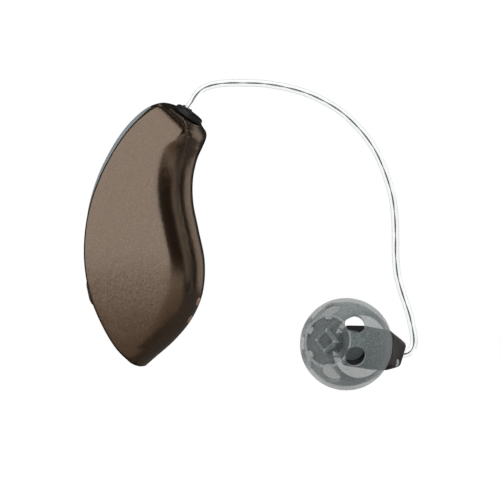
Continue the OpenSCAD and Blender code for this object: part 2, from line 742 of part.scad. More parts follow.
// The case's side leans outwards from the rear face to the joint, and the marker lies in it
module marker_place() {
    lean = atan2((case_w - rear_w) / 2, rear_l);
    translate([rear_w / 2 + marker_z * tan(lean), marker_y, marker_z]) rotate([0, 90 - lean, 0]) children();
}
module side_marker() {
    color([0.7, 0.72, 0.72]) on_receiver() marker_place() disc(marker_r, -marker_t + fit, 0);
}
module speaker_driver() {
    color([0.75, 0.76, 0.78]) on_receiver() block([driver_w, driver_h, driver_l], [0, 0, driver_z]);
}
spout_r = 0.5;
spout_bore = 0.3;
module driver_spout() {
    color([0.7, 0.71, 0.73]) on_receiver()
        ring(spout_r, spout_bore, driver_z + driver_l, case_l + nozzle_l / 4);
}
module driver_cushions() {
    color([0.2, 0.2, 0.22]) on_receiver() for (z = [rear_l + cushion_t, driver_z + driver_l - 2 * cushion_t])
        difference() {
            round_bar(case_w - 2 * case_wall - fit, case_h - 2 * case_wall - fit,
                case_r - case_wall, z, z + cushion_t);
            block([driver_w, driver_h, 3 * cushion_t], [0, 0, z - cushion_t]);
        }
}

// Wax guard: a cup with a square mesh cap in the nozzle's mouth
guard_r = bore_r - fit / 2;
guard_l = 1.2;
cap_side = 1.25;
cap_t = 0.25;
guard_hole = 0.2;
guard_wall = 0.3;
guard_pitch = 0.28;
module wax_guard() {
    tip = case_l + nozzle_l;
    color([0.55, 0.6, 0.6]) on_receiver() difference() {
        union() {
            ring(guard_r, guard_r - guard_wall, tip - guard_l, tip);
            rotate([0, 0, 45]) block([cap_side, cap_side, cap_t], [0, 0, tip + fit / 2 - over]);
            disc(guard_r, tip - over, tip + fit);
        }
        for (a = [-1, 1]) for (b = [-1, 1])
            translate([a * guard_pitch, b * guard_pitch, 0])
                disc(guard_hole, tip - guard_l - over, tip + 2 * cap_t);
    }
}

// Dome: one soft moulding with a skin, a tip, a sleeve over the nozzle and a ring of vents
dome_z = 11;
skirt_z = -3;
tip_z = 4;
tip_t = 0.6;
tip_r = 2.6;
mouth_r = 1;
sleeve_t = 0.45;
sleeve_gap = 0.3;
vent_n = 6;
vent_turn = -26;
vent_lean = 46;
module dome() {
    color([0.5, 0.54, 0.54, 0.6]) on_receiver() difference() {
        union() {
            difference() {
                intersection() {
                    translate([0, 0, dome_z]) sphere(r = dome_r, $fn = 96);
                    disc(2 * dome_r, dome_z + skirt_z, dome_z + tip_z);
                }
                difference() {
                    translate([0, 0, dome_z]) sphere(r = dome_r - skin_t, $fn = 96);
                    disc(tip_r, dome_z + tip_z - tip_t, dome_z + 2 * tip_z);
                }
            }
            disc(nozzle_r + fit + sleeve_t, case_l + sleeve_gap, dome_z + tip_z - tip_t / 2);
        }
        disc(nozzle_r + fit, case_l - over, case_l + nozzle_l + 2 * cap_t);
        disc(mouth_r, case_l, dome_z + 2 * tip_z);
        for (k = [0 : vent_n - 1]) translate([0, 0, dome_z])
            rotate([0, vent_lean, vent_turn + k * tau / vent_n])
            disc(vent_r, dome_r - 2 * skin_t, dome_r + skin_t);
    }
}

body_shell();
spine_cover();
mic_screens();
mic_gaskets();
microphone_front();
microphone_rear();
chassis();
circuit_board();
sound_processor();
radio_chip();
memory_chip();
small_components();
coil_core();
coil_winding();
antenna();
battery_cell();
battery_tab_positive();
battery_tab_negative();
charge_contact_upper();
charge_contact_lower();
contact_seals();
contact_springs();
tact_switch();
switch_dome();
button_seal();
receiver_socket();
socket_contacts();
push_button();
plug_body();
plug_contacts();
plug_seal();
wire_tube();
wire_core();
case_rear();
case_front();
speaker_driver();
driver_spout();
driver_cushions();
side_marker();
wax_guard();
dome();
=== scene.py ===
import json
import math
import bmesh
import bpy
from mathutils import Matrix, Vector


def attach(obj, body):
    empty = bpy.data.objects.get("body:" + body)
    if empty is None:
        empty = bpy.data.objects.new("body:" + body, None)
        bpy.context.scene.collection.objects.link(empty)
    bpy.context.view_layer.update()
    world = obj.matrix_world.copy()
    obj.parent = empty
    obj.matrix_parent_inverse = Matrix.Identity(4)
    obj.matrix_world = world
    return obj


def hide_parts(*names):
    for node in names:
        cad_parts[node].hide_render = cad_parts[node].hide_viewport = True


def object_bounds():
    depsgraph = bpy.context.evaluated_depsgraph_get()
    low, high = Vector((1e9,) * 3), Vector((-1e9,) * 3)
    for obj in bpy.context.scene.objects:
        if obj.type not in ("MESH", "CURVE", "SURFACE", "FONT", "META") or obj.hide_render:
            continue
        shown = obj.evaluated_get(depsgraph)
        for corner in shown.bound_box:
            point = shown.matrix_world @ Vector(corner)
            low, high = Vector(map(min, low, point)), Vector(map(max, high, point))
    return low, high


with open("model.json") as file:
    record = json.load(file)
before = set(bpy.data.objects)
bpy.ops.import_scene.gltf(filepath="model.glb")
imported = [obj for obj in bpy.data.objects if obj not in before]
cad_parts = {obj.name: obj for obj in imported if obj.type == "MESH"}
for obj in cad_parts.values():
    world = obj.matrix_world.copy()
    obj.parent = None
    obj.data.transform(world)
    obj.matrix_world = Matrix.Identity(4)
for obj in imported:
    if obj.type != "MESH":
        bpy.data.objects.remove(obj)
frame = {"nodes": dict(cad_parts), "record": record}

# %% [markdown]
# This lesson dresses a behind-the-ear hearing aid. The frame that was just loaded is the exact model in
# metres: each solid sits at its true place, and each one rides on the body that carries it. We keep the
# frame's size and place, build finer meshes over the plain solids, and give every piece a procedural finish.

cad_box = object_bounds()
MM = 0.001
print("model box, mm:", [[round(v / MM, 2) for v in corner] for corner in cad_box])

# %% [markdown]
# The camera comes first. The picture was taken from a long way off, a little to the front of the wearer, so
# the sides of the housing look almost parallel. A long lens far away gives that. We choose the width that
# the picture spans and work the distance out from it.

# %% Camera
LOOK_FROM = math.radians(19)
SEEN_WIDTH = 57.5 * MM
MIDDLE_ACROSS, MIDDLE_HEIGHT = 6.84 * MM, -7.25 * MM
LENS, SENSOR = 200, 36
NEAREST, FARTHEST = 0.01, 10
picture_across = Vector((math.cos(LOOK_FROM), math.sin(LOOK_FROM), 0))
towards_camera = Vector((math.sin(LOOK_FROM), -math.cos(LOOK_FROM), 0))
picture_middle = picture_across * MIDDLE_ACROSS + Vector((0, 0, MIDDLE_HEIGHT))
distance = SEEN_WIDTH * LENS / SENSOR
lens = bpy.data.cameras.new("camera")
lens.lens, lens.sensor_width = LENS, SENSOR
lens.clip_start, lens.clip_end = NEAREST, FARTHEST
camera = bpy.data.objects.new("camera", lens)
bpy.context.scene.collection.objects.link(camera)
camera.location = picture_middle + towards_camera * distance
camera.rotation_euler = towards_camera.to_track_quat("Z", "Y").to_euler()
bpy.context.scene.camera = camera
bpy.context.scene.view_settings.view_transform = "Standard"
print("camera stands", round(distance, 3), "m away")

# %% [markdown]
# A finish is a small graph of shader nodes. Writing it as sums is much easier to read than wiring it by hand,
# so one class wraps a socket and turns plus, minus and times into Math nodes. Each has its reflected form, so
# a number may stand first. Colours and vectors need other nodes, because a Math node turns a colour grey.

# %% Sockets that add up
class Signal:
    def __init__(self, graph, socket):
        self.graph, self.socket = graph, socket

    def sum_of(self, operation, first, second):
        return self.graph.node("ShaderNodeMath", {"operation": operation}, {0: first, 1: second})

    def __add__(self, other):
        return self.sum_of("ADD", self, other)

    def __sub__(self, other):
        return self.sum_of("SUBTRACT", self, other)

    def __rsub__(self, other):
        return self.sum_of("SUBTRACT", other, self)

    def __mul__(self, other):
        return self.sum_of("MULTIPLY", self, other)

    __radd__, __rmul__ = __add__, __mul__


print("a socket now understands + - *")

# %% [markdown]
# Materials and the world both hold a tree of nodes that ends in one shader. This class makes any node from
# its type, its settings and what goes into its sockets. Settings go first, because some of them, such as a
# Math node's operation, decide which sockets there are.

# %% A graph of nodes
class Graph:
    def __init__(self, owner, shader_name):
        owner.use_nodes = True
        self.tree = owner.node_tree
        self.shader = self.tree.nodes[shader_name]

    def feed(self, socket, value):
        if isinstance(value, Signal):
            self.tree.links.new(value.socket, socket)
        elif socket.type == "RGBA" and len(value) == 3:
            socket.default_value = (*value, 1)
        else:
            socket.default_value = value

    def plug(self, socket_name, value):
        self.feed(self.shader.inputs[socket_name], value)

    def node(self, kind, settings=None, inputs=None, out=0):
        made = self.tree.nodes.new(kind)
        for name, value in (settings or {}).items():
            if name == "stops":
                self.set_stops(made.color_ramp, value)
            else:
                setattr(made, name, value)
        for name, value in (inputs or {}).items():
            self.feed(made.inputs[name], value)
        return Signal(self, made.outputs[out])

    def set_stops(self, ramp, stops):
        while len(ramp.elements) < len(stops):
            ramp.elements.new(0.5)
        for element, (place, colour) in zip(ramp.elements, stops):
            element.position, element.color = place, (*colour, 1)


print("a graph can make any node")

# %% [markdown]
# A finish is a material with such a graph. Sizes of grain are given in millimetres, because that is how a
# maker thinks of them. What is the same all over goes straight on the shader's own sockets, and only what
# changes over the surface is linked. A value that sways about a middle is written by sway.

# %% Finishes
class Finish(Graph):
    def __init__(self, name, colour, roughness, **fixed):
        self.material = bpy.data.materials.new(name)
        super().__init__(self.material, "Principled BSDF")
        self.plug("Base Color", colour)
        self.plug("Roughness", roughness)
        for socket, value in fixed.items():
            self.plug(socket.replace("_", " "), value)

    def place(self):
        return self.node("ShaderNodeTexCoord", out="Object")

    def cloud(self, size_mm, detail=2):
        return self.node("ShaderNodeTexNoise", None,
                         {"Vector": self.place(), "Scale": 1 / (size_mm * MM), "Detail": detail})

    def sway(self, middle, reach, pattern):
        return middle + (pattern - 0.5) * reach

    def flakes(self, size_mm):
        return self.node("ShaderNodeTexVoronoi", None,
                         {"Vector": self.place(), "Scale": 1 / (size_mm * MM)}, "Color")

    def ramp(self, signal, stops):
        return self.node("ShaderNodeValToRGB", {"stops": stops}, {"Fac": signal})

    def mix(self, share, first, second):
        return self.node("ShaderNodeMix", {"data_type": "RGBA"}, {0: share, 6: first, 7: second}, 2)

    def vector_sum(self, operation, inputs):
        return self.node("ShaderNodeVectorMath", {"operation": operation}, inputs)

    def bump(self, height, strength, depth_mm):
        self.plug("Normal", self.node("ShaderNodeBump", None,
                  {"Height": height, "Strength": strength, "Distance": depth_mm * MM}))


def grey_stops(low, high):
    return [(low, (0, 0, 0)), (high, (1, 1, 1))]


def scaled(colour, times):
    return tuple(min(times * c, 1) for c in colour)


print("a grain of 0.1 mm has a noise scale of", round(1 / (0.1 * MM)))

# %% [markdown]
# The housing's lacquer is a brown paint with fine metal flake under a clear coat. Seen close, each flake
# tips its own way, so some glint coppery and some stay dark. A Voronoi pattern gives each flake one random
# colour, and that nudges the paint's colour and tilts the surface a little. A picture of flakes would do
# too, but it would blur when seen close.

# %% Bronze lacquer
FLAKE_MM, FLAKE_TILT = 0.09, 0.1
FLAKE_COLOURS = [(0.0, (0.2, 0.152, 0.115)), (0.55, (0.245, 0.187, 0.145)), (0.9, (0.29, 0.21, 0.15)),
                 (1.0, (0.42, 0.26, 0.14))]


def bronze_lacquer():
    paint = Finish("bronze_lacquer", (0.2, 0.15, 0.11), 0.3, Metallic=0.94, Coat_Weight=0.25,
                   Coat_Roughness=0.1, Coat_IOR=1.45)
    flake = paint.flakes(FLAKE_MM)
    paint.plug("Base Color", paint.ramp(flake, FLAKE_COLOURS))
    paint.plug("Roughness", paint.sway(0.23, 0.06, paint.cloud(0.3)))
    tipped = paint.vector_sum("SUBTRACT", {0: flake, 1: (0.5, 0.5, 0.5)})
    slight = paint.vector_sum("SCALE", {0: tipped, "Scale": FLAKE_TILT})
    surface = paint.node("ShaderNodeNewGeometry", out="Normal")
    turned = paint.vector_sum("ADD", {0: surface, 1: slight})
    paint.plug("Normal", paint.vector_sum("NORMALIZE", {0: turned}))
    return paint.material


print("flakes are", FLAKE_MM, "mm across")

# %% [markdown]
# Moulded plastics share one recipe. A fine grain from the mould's spark-eroded steel lifts the surface by a
# few micrometres, and handling leaves slightly shinier places, which a slow cloud in the roughness gives.

# %% Moulded plastic and rubber
GRAIN_DEPTH_MM = 0.012


def moulded(name, colour, roughness=0.45, grain_mm=0.09):
    plastic = Finish(name, colour, roughness)
    patches = plastic.ramp(plastic.cloud(1.6, 3), grey_stops(0.35, 0.65))
    plastic.plug("Base Color", plastic.mix(patches, scaled(colour, 0.86), colour))
    plastic.plug("Roughness", plastic.sway(roughness, 0.16, plastic.cloud(0.8, 3)))
    plastic.bump(plastic.cloud(grain_mm), 0.25, GRAIN_DEPTH_MM)
    return plastic.material


print("the moulded grain is up to", GRAIN_DEPTH_MM, "mm deep")

# %% [markdown]
# Metal parts are drawn, rolled or turned, which leaves fine lines along the way they were worked. Noise that
# is squeezed across that way gives such lines. Air dulls metal in places, so a slow cloud darkens it.

# %% Worked metal
TOOL_MARK_MM = 0.005


def metal(name, colour, roughness=0.25, stretch=(1, 1, 14), grain_mm=0.3, metallic=1.0):
    worked = Finish(name, colour, roughness, Metallic=metallic)
    lines = worked.node("ShaderNodeMapping", None, {"Vector": worked.place(), "Scale": stretch})
    brushed = worked.node("ShaderNodeTexNoise", None,
                          {"Vector": lines, "Scale": 1 / (grain_mm * MM), "Detail": 3})
    dull = worked.ramp(worked.cloud(0.7, 3), grey_stops(0.4, 0.7))
    worked.plug("Base Color", worked.mix(dull, colour, scaled(colour, 0.8)))
    worked.plug("Roughness", worked.sway(roughness, 0.2, brushed))
    worked.bump(brushed, 0.1, TOOL_MARK_MM)
    return worked.material


print("tool marks are up to", TOOL_MARK_MM, "mm deep")

# %% [markdown]
# The dome is smoky silicone with a frosted skin. Light goes through it, dimmed at each surface it crosses, so
# the receiver shows through as a dark shape. Real scattering inside would be slow and noisy. Alpha does the
# job well.

# %% Smoky silicone
def smoky_silicone(name, colour, cover):
    soft = Finish(name, colour, 0.42, IOR=1.41, Sheen_Weight=0.9, Sheen_Roughness=0.5)
    stops = [(0.36, scaled(colour, 0.75)), (0.5, colour), (0.56, colour), (0.68, scaled(colour, 1.8))]
    soft.plug("Base Color", soft.ramp(soft.cloud(0.15, 3), stops))
    soft.plug("Alpha", soft.sway(cover, 0.08, soft.cloud(0.5)))
    soft.plug("Roughness", soft.sway(0.43, 0.2, soft.cloud(0.2)))
    soft.bump(soft.cloud(0.1), 0.2, 0.02)
    return soft.material


DOME_COLOUR, DOME_COVER = (0.46, 0.53, 0.53), 0.5
print("one layer of the dome hides", DOME_COVER, "of what lies behind")

# %% [markdown]
# The tube is clear plastic. Light passes straight through its middle and bends away at its edges,
# which look dark against a pale room. The colour is deepened towards the edge to help that along.

# %% Clear plastic
CLEAR, EDGE_SHADE = (0.93, 0.95, 0.95), (0.3, 0.33, 0.33)


def clear_plastic():
    clear = Finish("clear_tube", CLEAR, 0.06, IOR=1.42, Transmission_Weight=1.0)
    edge = clear.node("ShaderNodeLayerWeight", None, {"Blend": 0.5}, "Facing")
    clear.plug("Base Color", clear.ramp(edge, [(0.5, CLEAR), (0.8, EDGE_SHADE)]))
    clear.plug("Roughness", clear.sway(0.05, 0.06, clear.cloud(0.6)))
    clear.bump(clear.cloud(0.8), 0.05, 0.02)
    return clear.material


print("the tube's edge is darkened to", EDGE_SHADE)

# %% [markdown]
# The circuit board is green lacquer over fibre cloth, with fine copper tracks that show as slightly lighter
# lines. A brick pattern at half a millimetre stands in for the tracks.

# %% Circuit board
BOARD_GREEN, TRACK_GREEN = (0.02, 0.11, 0.045), (0.06, 0.22, 0.09)


def board_lacquer():
    board = Finish("board_lacquer", (0.02, 0.12, 0.05), 0.35)
    flat = board.node("ShaderNodeMapping", None, {"Vector": board.place(), "Rotation": (math.pi / 2, 0, 0),
                      "Scale": (1 / MM, 1 / MM, 1 / MM)})
    board.plug("Base Color", board.node("ShaderNodeTexBrick", None, {
        "Vector": flat, "Scale": 1.0, "Mortar Size": 0.02, "Color1": BOARD_GREEN,
        "Color2": (0.018, 0.1, 0.04), "Mortar": TRACK_GREEN}))
    board.bump(board.cloud(0.08, 1), 0.2, 0.01)
    return board.material


print("tracks are", round(TRACK_GREEN[1] / BOARD_GREEN[1], 1), "times as bright as the board")

# %% [markdown]
# The exact model names a material slot for each solid. Here each slot gets its finish, in the colours that
# such parts have: black plastics are really very dark greys, and clean metals are pale. The solids inside
# get theirs too, because some show when the plug is pulled.

# %% One finish for each material slot
FINISH = {
    "bronze_paint": bronze_lacquer(),
    "spine_grey": moulded("spine_grey", (0.56, 0.64, 0.67), 0.3),
    "button_grey": moulded("button_grey", (0.1, 0.115, 0.12), 0.35),
    "black_plastic": moulded("black_plastic", (0.03, 0.03, 0.031), 0.42),
    "clear_tube": clear_plastic(),
    "conductor": moulded("conductor", (0.16, 0.17, 0.175), 0.4, 0.05),
    "copper_gold": metal("copper_gold", (0.92, 0.6, 0.45), 0.4, metallic=0.4),
    "smoke_silicone": smoky_silicone("smoky_silicone", DOME_COLOUR, DOME_COVER),
    "black_rubber": moulded("black_rubber", (0.025, 0.025, 0.025), 0.7, 0.06),
    "board_green": board_lacquer(),
    "chip_black": moulded("chip_black", (0.03, 0.03, 0.033), 0.5, 0.05),
    "steel": metal("steel", (0.6, 0.6, 0.61), 0.3),
    "copper_wire": metal("copper_wire", (0.62, 0.27, 0.12), 0.35, (30, 1, 1), 0.5),
    "ferrite": moulded("ferrite", (0.05, 0.05, 0.052), 0.6, 0.05),
    "chassis_grey": moulded("chassis_grey", (0.06, 0.06, 0.063), 0.5),
    "marker_grey": moulded("marker_grey", (0.8, 0.85, 0.85), 0.4, 0.05),
    "guard_plastic": moulded("guard_plastic", (0.2, 0.22, 0.22), 0.4, 0.05),
}
slots = {row["node"]: row["material_slot"] for row in frame["record"]["subparts"]}
for name, node in frame["nodes"].items():
    node.data.materials.clear()
    node.data.materials.append(FINISH[slots[name]])
print(len(FINISH), "finishes on", len(frame["nodes"]), "solids")

# %% [markdown]
# Every finer piece is made the same way: a list of points in millimetres and a list of faces become a mesh in
# metres. It takes the place of its plain solid, rides on that solid's body, and keeps the solid's finish.

# %% From points to a piece
body_of = {node: body for body, nodes in frame["record"]["behaviour"]["bodies"].items() for node in nodes}


def mesh_from(name, points, faces, unit=MM):
    mesh = bpy.data.meshes.new(name)
    mesh.from_pydata([tuple(c * unit for c in p) for p in points], [], faces)
    return mesh


def on_bench(name, mesh):
    thing = bpy.data.objects.new(name, mesh)
    bpy.context.scene.collection.objects.link(thing)
    return thing


def reshape(mesh, change):
    shape = bmesh.new()
    shape.from_mesh(mesh)
    change(shape)
    shape.to_mesh(mesh)
    shape.free()


def face_outwards(mesh):
    reshape(mesh, lambda shape: bmesh.ops.recalc_face_normals(shape, faces=shape.faces))


def split_walls(shape):
    bmesh.ops.triangulate(shape, faces=[face for face in shape.faces if len(face.verts) > 4])


def finish_piece(piece, stands_for, crease=35):
    face_outwards(piece.data)
    piece.data.shade_smooth()
    piece.data.set_sharp_from_angle(angle=math.radians(crease))
    piece.data.materials.clear()
    piece.data.materials.append(FINISH[slots[stands_for[0]]])
    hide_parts(*stands_for)
    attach(piece, body_of[stands_for[0]])
    print(piece.name, "has", len(piece.data.polygons), "faces")
    return piece


# %% [markdown]
# A loft joins rings of points one after the other. Each ring has the same number of points, so a quad links
# each pair of neighbours, and one flat face closes each end. Most of this aid's forms are moulded or turned,
# and a loft follows both with few helpers, where a modeller would reach for a dozen tools.

# %% Rings and lofts
ROUND = 48
CORNERS = ((-1, -1), (1, -1), (1, 1), (-1, 1))


def loft_faces(ring_count, ring_size, closed=False):
    faces = []
    for s in range(ring_count if closed else ring_count - 1):
        a, b = s * ring_size, (s + 1) % ring_count * ring_size
        faces += [(a + j, a + (j + 1) % ring_size, b + (j + 1) % ring_size, b + j) for j in range(ring_size)]
    if not closed:
        faces += [tuple(range(ring_size)), tuple(range((ring_count - 1) * ring_size, ring_count * ring_size))]
    return faces


def circle(radius, z, count=ROUND):
    turns = [math.tau * k / count for k in range(count)]
    return [(radius * math.cos(q), radius * math.sin(q), z) for q in turns]


def placed(place, rings):
    return [[tuple(place @ Vector(p)) for p in ring] for ring in rings]


def points_of(rings):
    return [p for ring in rings for p in ring]


def joined(parts, closed=False):
    points, faces = [], []
    for rings in parts:
        start = len(points)
        points += points_of(rings)
        own = loft_faces(len(rings), len(rings[0]), closed)
        faces += [tuple(start + v for v in face) for face in own]
    return points, faces


def piece_from(name, parts, stands_for, crease=35, closed=False):
    return finish_piece(on_bench(name, mesh_from(name, *joined(parts, closed))), stands_for, crease)


def rows_between(first, last, count):
    return [first + (last - first) * i / count for i in range(count + 1)]


print("a plain rod has", len(loft_faces(2, ROUND)), "faces")

# %% [markdown]
# Holes are cut with a second mesh, the cutter, as a drill or a core pin would make them. Blender's Manifold
# solver is exact about that, as long as both meshes are closed, so a loose mesh is checked for open edges.

# %% Cutters and cuts
def loose_mesh(name, points, faces):
    mesh = mesh_from(name, points, faces)
    face_outwards(mesh)
    uses = {}
    for face in mesh.polygons:
        for edge in face.edge_keys:
            uses[edge] = uses.get(edge, 0) + 1
    open_edges = sum(1 for count in uses.values() if count != 2)
    if open_edges:
        print(name, "has", open_edges, "open edges")
    return on_bench(name, mesh)


def loose_loft(rings, name="cutter"):
    return loose_mesh(name, *joined([rings]))


def cut_away(piece, cutter):
    cut = piece.modifiers.new("cut", "BOOLEAN")
    cut.operation, cut.solver, cut.object = "DIFFERENCE", "MANIFOLD", cutter
    graph = bpy.context.evaluated_depsgraph_get()
    applied = bpy.data.meshes.new_from_object(piece.evaluated_get(graph))
    piece.modifiers.clear()
    piece.data = applied
    bpy.data.objects.remove(cutter)
    print(piece.name, "has", len(applied.polygons), "faces after a cut")


# %% [markdown]
# The housing's outline is a table of places along its back edge and its front edge, given as shares of its
# width and height, with its thickness beside them. A smooth curve runs through each table. These are the
# sizes of the exact model, written again here, so that the finer skin lies on the plain one. Only the spine's
# crown is made up to 0.35 mm prouder near the top, so that it shows past the side's edge as it does in life.

# %% The housing's tables
BODY_W, BODY_L, HALF_T = 13.4, 30, 3.8
BACK = [(-0.14, 0.306), (-0.215, 0.317), (-0.342, 0.278), (-0.522, 0.196), (-0.7, 0.075), (-0.818, -0.048),
        (-0.876, -0.165), (-0.886, -0.287), (-0.846, -0.41), (-0.758, -0.517), (-0.64, -0.613),
        (-0.52, -0.672), (-0.45, -0.69)]
FRONT = [(0.082, 0.233), (0.106, 0.192), (0.076, 0.15), (0.036, 0.1), (0.002, 0.027), (0.006, -0.061),
         (0.055, -0.165), (0.111, -0.287), (0.095, -0.406), (-0.001, -0.506), (-0.164, -0.592),
         (-0.35, -0.66), (-0.43, -0.69)]
THICK = [0.66, 0.88, 0.97, 1, 1, 1, 1, 0.985, 0.91, 0.81, 0.68, 0.5, 0.22]
CROWN = [0.02, 0.3, 0.98, 1.22, 1.2, 1.05, 0.85, 0.8, 0.75, 0.65, 0.45, 0.25, 0.1]
NOSE = [0.4, 0.42, 0.56, 0.96, 1, 1, 1, 1, 1, 1, 1, 1, 1]
WALL, FRONT_ROUND, BACK_ROUND, RIM, COVER_T, CROWN_H = 0.7, 3.4, 0.6, 0.35, 0.8, 1.15
LIP, LIP_STEP, FIT = 0.9, 0.35, 0.05
FIRST_ROW, OPEN_ROW, CLOSE_ROW, LAST_ROW = 0.8, 1.6, 9.8, 12


def along(table, t):
    n = len(table) - 1
    i = max(0, min(math.floor(t), n - 1))
    u = t - i
    a, b, c, d = table[max(i - 1, 0)], table[i], table[i + 1], table[min(i + 2, n)]
    if isinstance(b, tuple):
        return [along_four(a[k], b[k], c[k], d[k], u) for k in range(len(b))]
    return along_four(a, b, c, d, u)


def along_four(a, b, c, d, u):
    steady, bend = (c - a) * u, (2 * a - 5 * b + 4 * c - d) * u * u
    return 0.5 * (2 * b + steady + bend + (3 * b - a - 3 * c + d) * u ** 3)


def back_at(t):
    x, z = along(BACK, t)
    return Vector((x * BODY_W, 0, z * BODY_L))


def front_at(t):
    x, z = along(FRONT, t)
    return Vector((x * BODY_W, 0, z * BODY_L))


def half_thickness(t):
    return HALF_T * along(THICK, t)


print("housing is", round((back_at(0) - back_at(LAST_ROW)).length, 1), "mm from seat to tip")

# %% [markdown]
# At each row the section runs from the crowned back, over a small round edge, along the flat side, and then
# round the nose of the front edge, which is half an ellipse. It is drawn from the middle of the back, once
# round and home again.

# %% Sections of the housing
NOSE_LIMIT, EDGE_LIMIT = 0.62, 0.2
EDGE_STEPS, FLAT_STEPS, NOSE_STEPS, CROWN_STEPS = 8, 6, 26, 24


def section_width(t):
    return (front_at(t) - back_at(t)).length


def nose_depth(t):
    return min(FRONT_ROUND * along(NOSE, t), NOSE_LIMIT * section_width(t))


def edge_round(t):
    return min(BACK_ROUND, EDGE_LIMIT * section_width(t))


def half_nose(w, a, h, steps):
    turns = [math.pi / 2 * (1 - i / steps) for i in range(steps + 1)]
    return [(w - a + a * math.cos(q), h * math.sin(q)) for q in turns]


def half_outer(t):
    h, w, r, a = half_thickness(t), section_width(t), edge_round(t), nose_depth(t)
    corner = [math.pi / 2 * i / EDGE_STEPS for i in range(EDGE_STEPS + 1)]
    flat = [(r + (w - a - r) * i / FLAT_STEPS, h) for i in range(1, FLAT_STEPS)]
    nose = half_nose(w, a, h, NOSE_STEPS)
    return [(r - r * math.cos(q), h - r + r * math.sin(q)) for q in corner] + flat + nose


def rim_y(t):
    return half_thickness(t) - edge_round(t) - RIM


def crown_line(t, edge, steps=CROWN_STEPS):
    high = CROWN_H * along(CROWN, t)
    return [(-high * (1 - c * c), edge * c) for c in (2 * i / steps - 1 for i in range(1, steps))]


def both_sides(half):
    return half + [(p, -y) for p, y in reversed(half[:-1])]


def lift(t, outline):
    back, ahead = back_at(t), (front_at(t) - back_at(t)).normalized()
    return [tuple(back + ahead * p + Vector((0, y, 0))) for p, y in outline]


def outer_ring(t):
    return lift(t, both_sides(half_outer(t)) + crown_line(t, -rim_y(t)))


print("each ring of the skin has", len(outer_ring(OPEN_ROW)), "points")

# %% [markdown]
# The two ends are not knife edges on the real moulding: a small round runs about the plug seat and about the
# tip. Each end gets a few more rings, each pulled in a little and moved out a little along a quarter circle.

# %% Rounded ends
SEAT_EDGE, TIP_EDGE = 0.08, 0.05


def rounded_end(ring, out_way, radius, steps=5):
    middle = sum((Vector(p) for p in ring), Vector()) / len(ring)
    rings = []
    for i in range(steps + 1):
        q = math.pi / 2 * i / steps
        inward, outward = radius * (1 - math.cos(q)), -radius * (1 - math.sin(q))
        moved = []
        for p in ring:
            arm = Vector(p) - middle
            moved.append(tuple(middle + arm * (1 - inward / arm.length) + out_way * outward))
        rings.append(moved)
    return rings


def end_normal(t, ahead):
    chord = front_at(t) - back_at(t)
    normal = Vector((0, 1, 0)).cross(chord).normalized()
    return normal if normal.dot(ahead) > 0 else -normal


seat_out = end_normal(0, Vector((0, 0, 1)))
tip_out = end_normal(LAST_ROW, Vector((0, 0, -1)))
seat_rings = rounded_end(outer_ring(0), seat_out, SEAT_EDGE)
tip_rings = rounded_end(outer_ring(LAST_ROW), tip_out, TIP_EDGE)
print("the plug's seat leans", round(math.degrees(seat_out.angle(Vector((0, 0, 1))))), "degrees to the front")

# %% [markdown]
# The housing is one moulding with an open back. Its skin is lofted, the quads over the open back are left
# out, and a lining follows the skin inside, one wall away. Two strips along the opening and a wall at each of
# its ends join the two. The walls have dozens of corners, and a hole cut in such a face can be filled in
# by mistake when it is later split, so they are split into triangles before anything is cut.

# %% The housing's skin and lining
LINING_STEPS = 16
NEAR_TIP = 11.9
TOP_STEPS, MIDDLE_STEPS, TIP_STEPS = 12, 130, 40


def half_inner(t):
    h, w, a = half_thickness(t) - WALL, section_width(t) - WALL, nose_depth(t) - WALL / 2
    return [(0, rim_y(t)), (LIP, rim_y(t)), (LIP + LIP_STEP, h)] + half_nose(w, a, h, LINING_STEPS)


top = rows_between(FIRST_ROW, OPEN_ROW, TOP_STEPS)
middle = rows_between(OPEN_ROW, CLOSE_ROW, MIDDLE_STEPS)
tip = rows_between(CLOSE_ROW, NEAR_TIP, TIP_STEPS)
skin = list(reversed(seat_rings)) + [outer_ring(t) for t in top[:-1] + middle[:-1] + tip] + tip_rings
lining = [lift(t, both_sides(half_inner(t))) for t in middle]
first = len(seat_rings) + len(top) - 1
around, sides = len(skin[0]), len(both_sides(half_outer(OPEN_ROW)))
base, deep, last = len(skin) * around, len(lining[0]), len(middle) - 1
faces = []
for s, quad_or_cap in enumerate(loft_faces(len(skin), around)):
    row, j = divmod(s, around)
    if not (first <= row < first + last and j >= sides - 1 and row < len(skin) - 1):
        faces.append(quad_or_cap)
for k in range(last):
    o, n, up = (first + k) * around, base + k * deep, (first + k + 1) * around
    faces += [(n + j, n + deep + j, n + deep + j + 1, n + j + 1) for j in range(deep - 1)]
    faces += [(o, up, n + deep, n), (n + deep - 1, n + 2 * deep - 1, up + sides - 1, o + sides - 1)]
for k in (0, last):
    o, n = (first + k) * around, base + k * deep
    faces.append((o, *range(n, n + deep), *range(o + sides - 1, o + around)))
shell = loose_mesh("housing_shell", points_of(skin + lining), faces)
reshape(shell.data, split_walls)
print("skin and lining have", len(shell.data.polygons), "faces")

# %% [markdown]
# The moulding has two holes for the charging contacts and a mouth for the plug's socket. The cutters stand
# square to the surface, so each place on the edge gets a small frame of its own: an origin and three ways.

# %% Holes of the housing
CONTACT_ROWS, CONTACT_R = (8.32, 9.02), 0.5
CONTACT_DRILL = (-2, 1)
SOCKET_W, SOCKET_D, SOCKET_REACH = 3.0, 2.1, 3.8
STEP_ALONG = 0.05


def frame_on(point, out_way):
    side = Vector((0, 1, 0))
    return Matrix.Translation(point) @ Matrix((side.cross(out_way), side, out_way)).transposed().to_4x4()


def slope(at, t):
    return (at(t + STEP_ALONG) - at(t - STEP_ALONG)).normalized()


def on_front(t):
    return frame_on(front_at(t), -Vector((0, 1, 0)).cross(slope(front_at, t)))


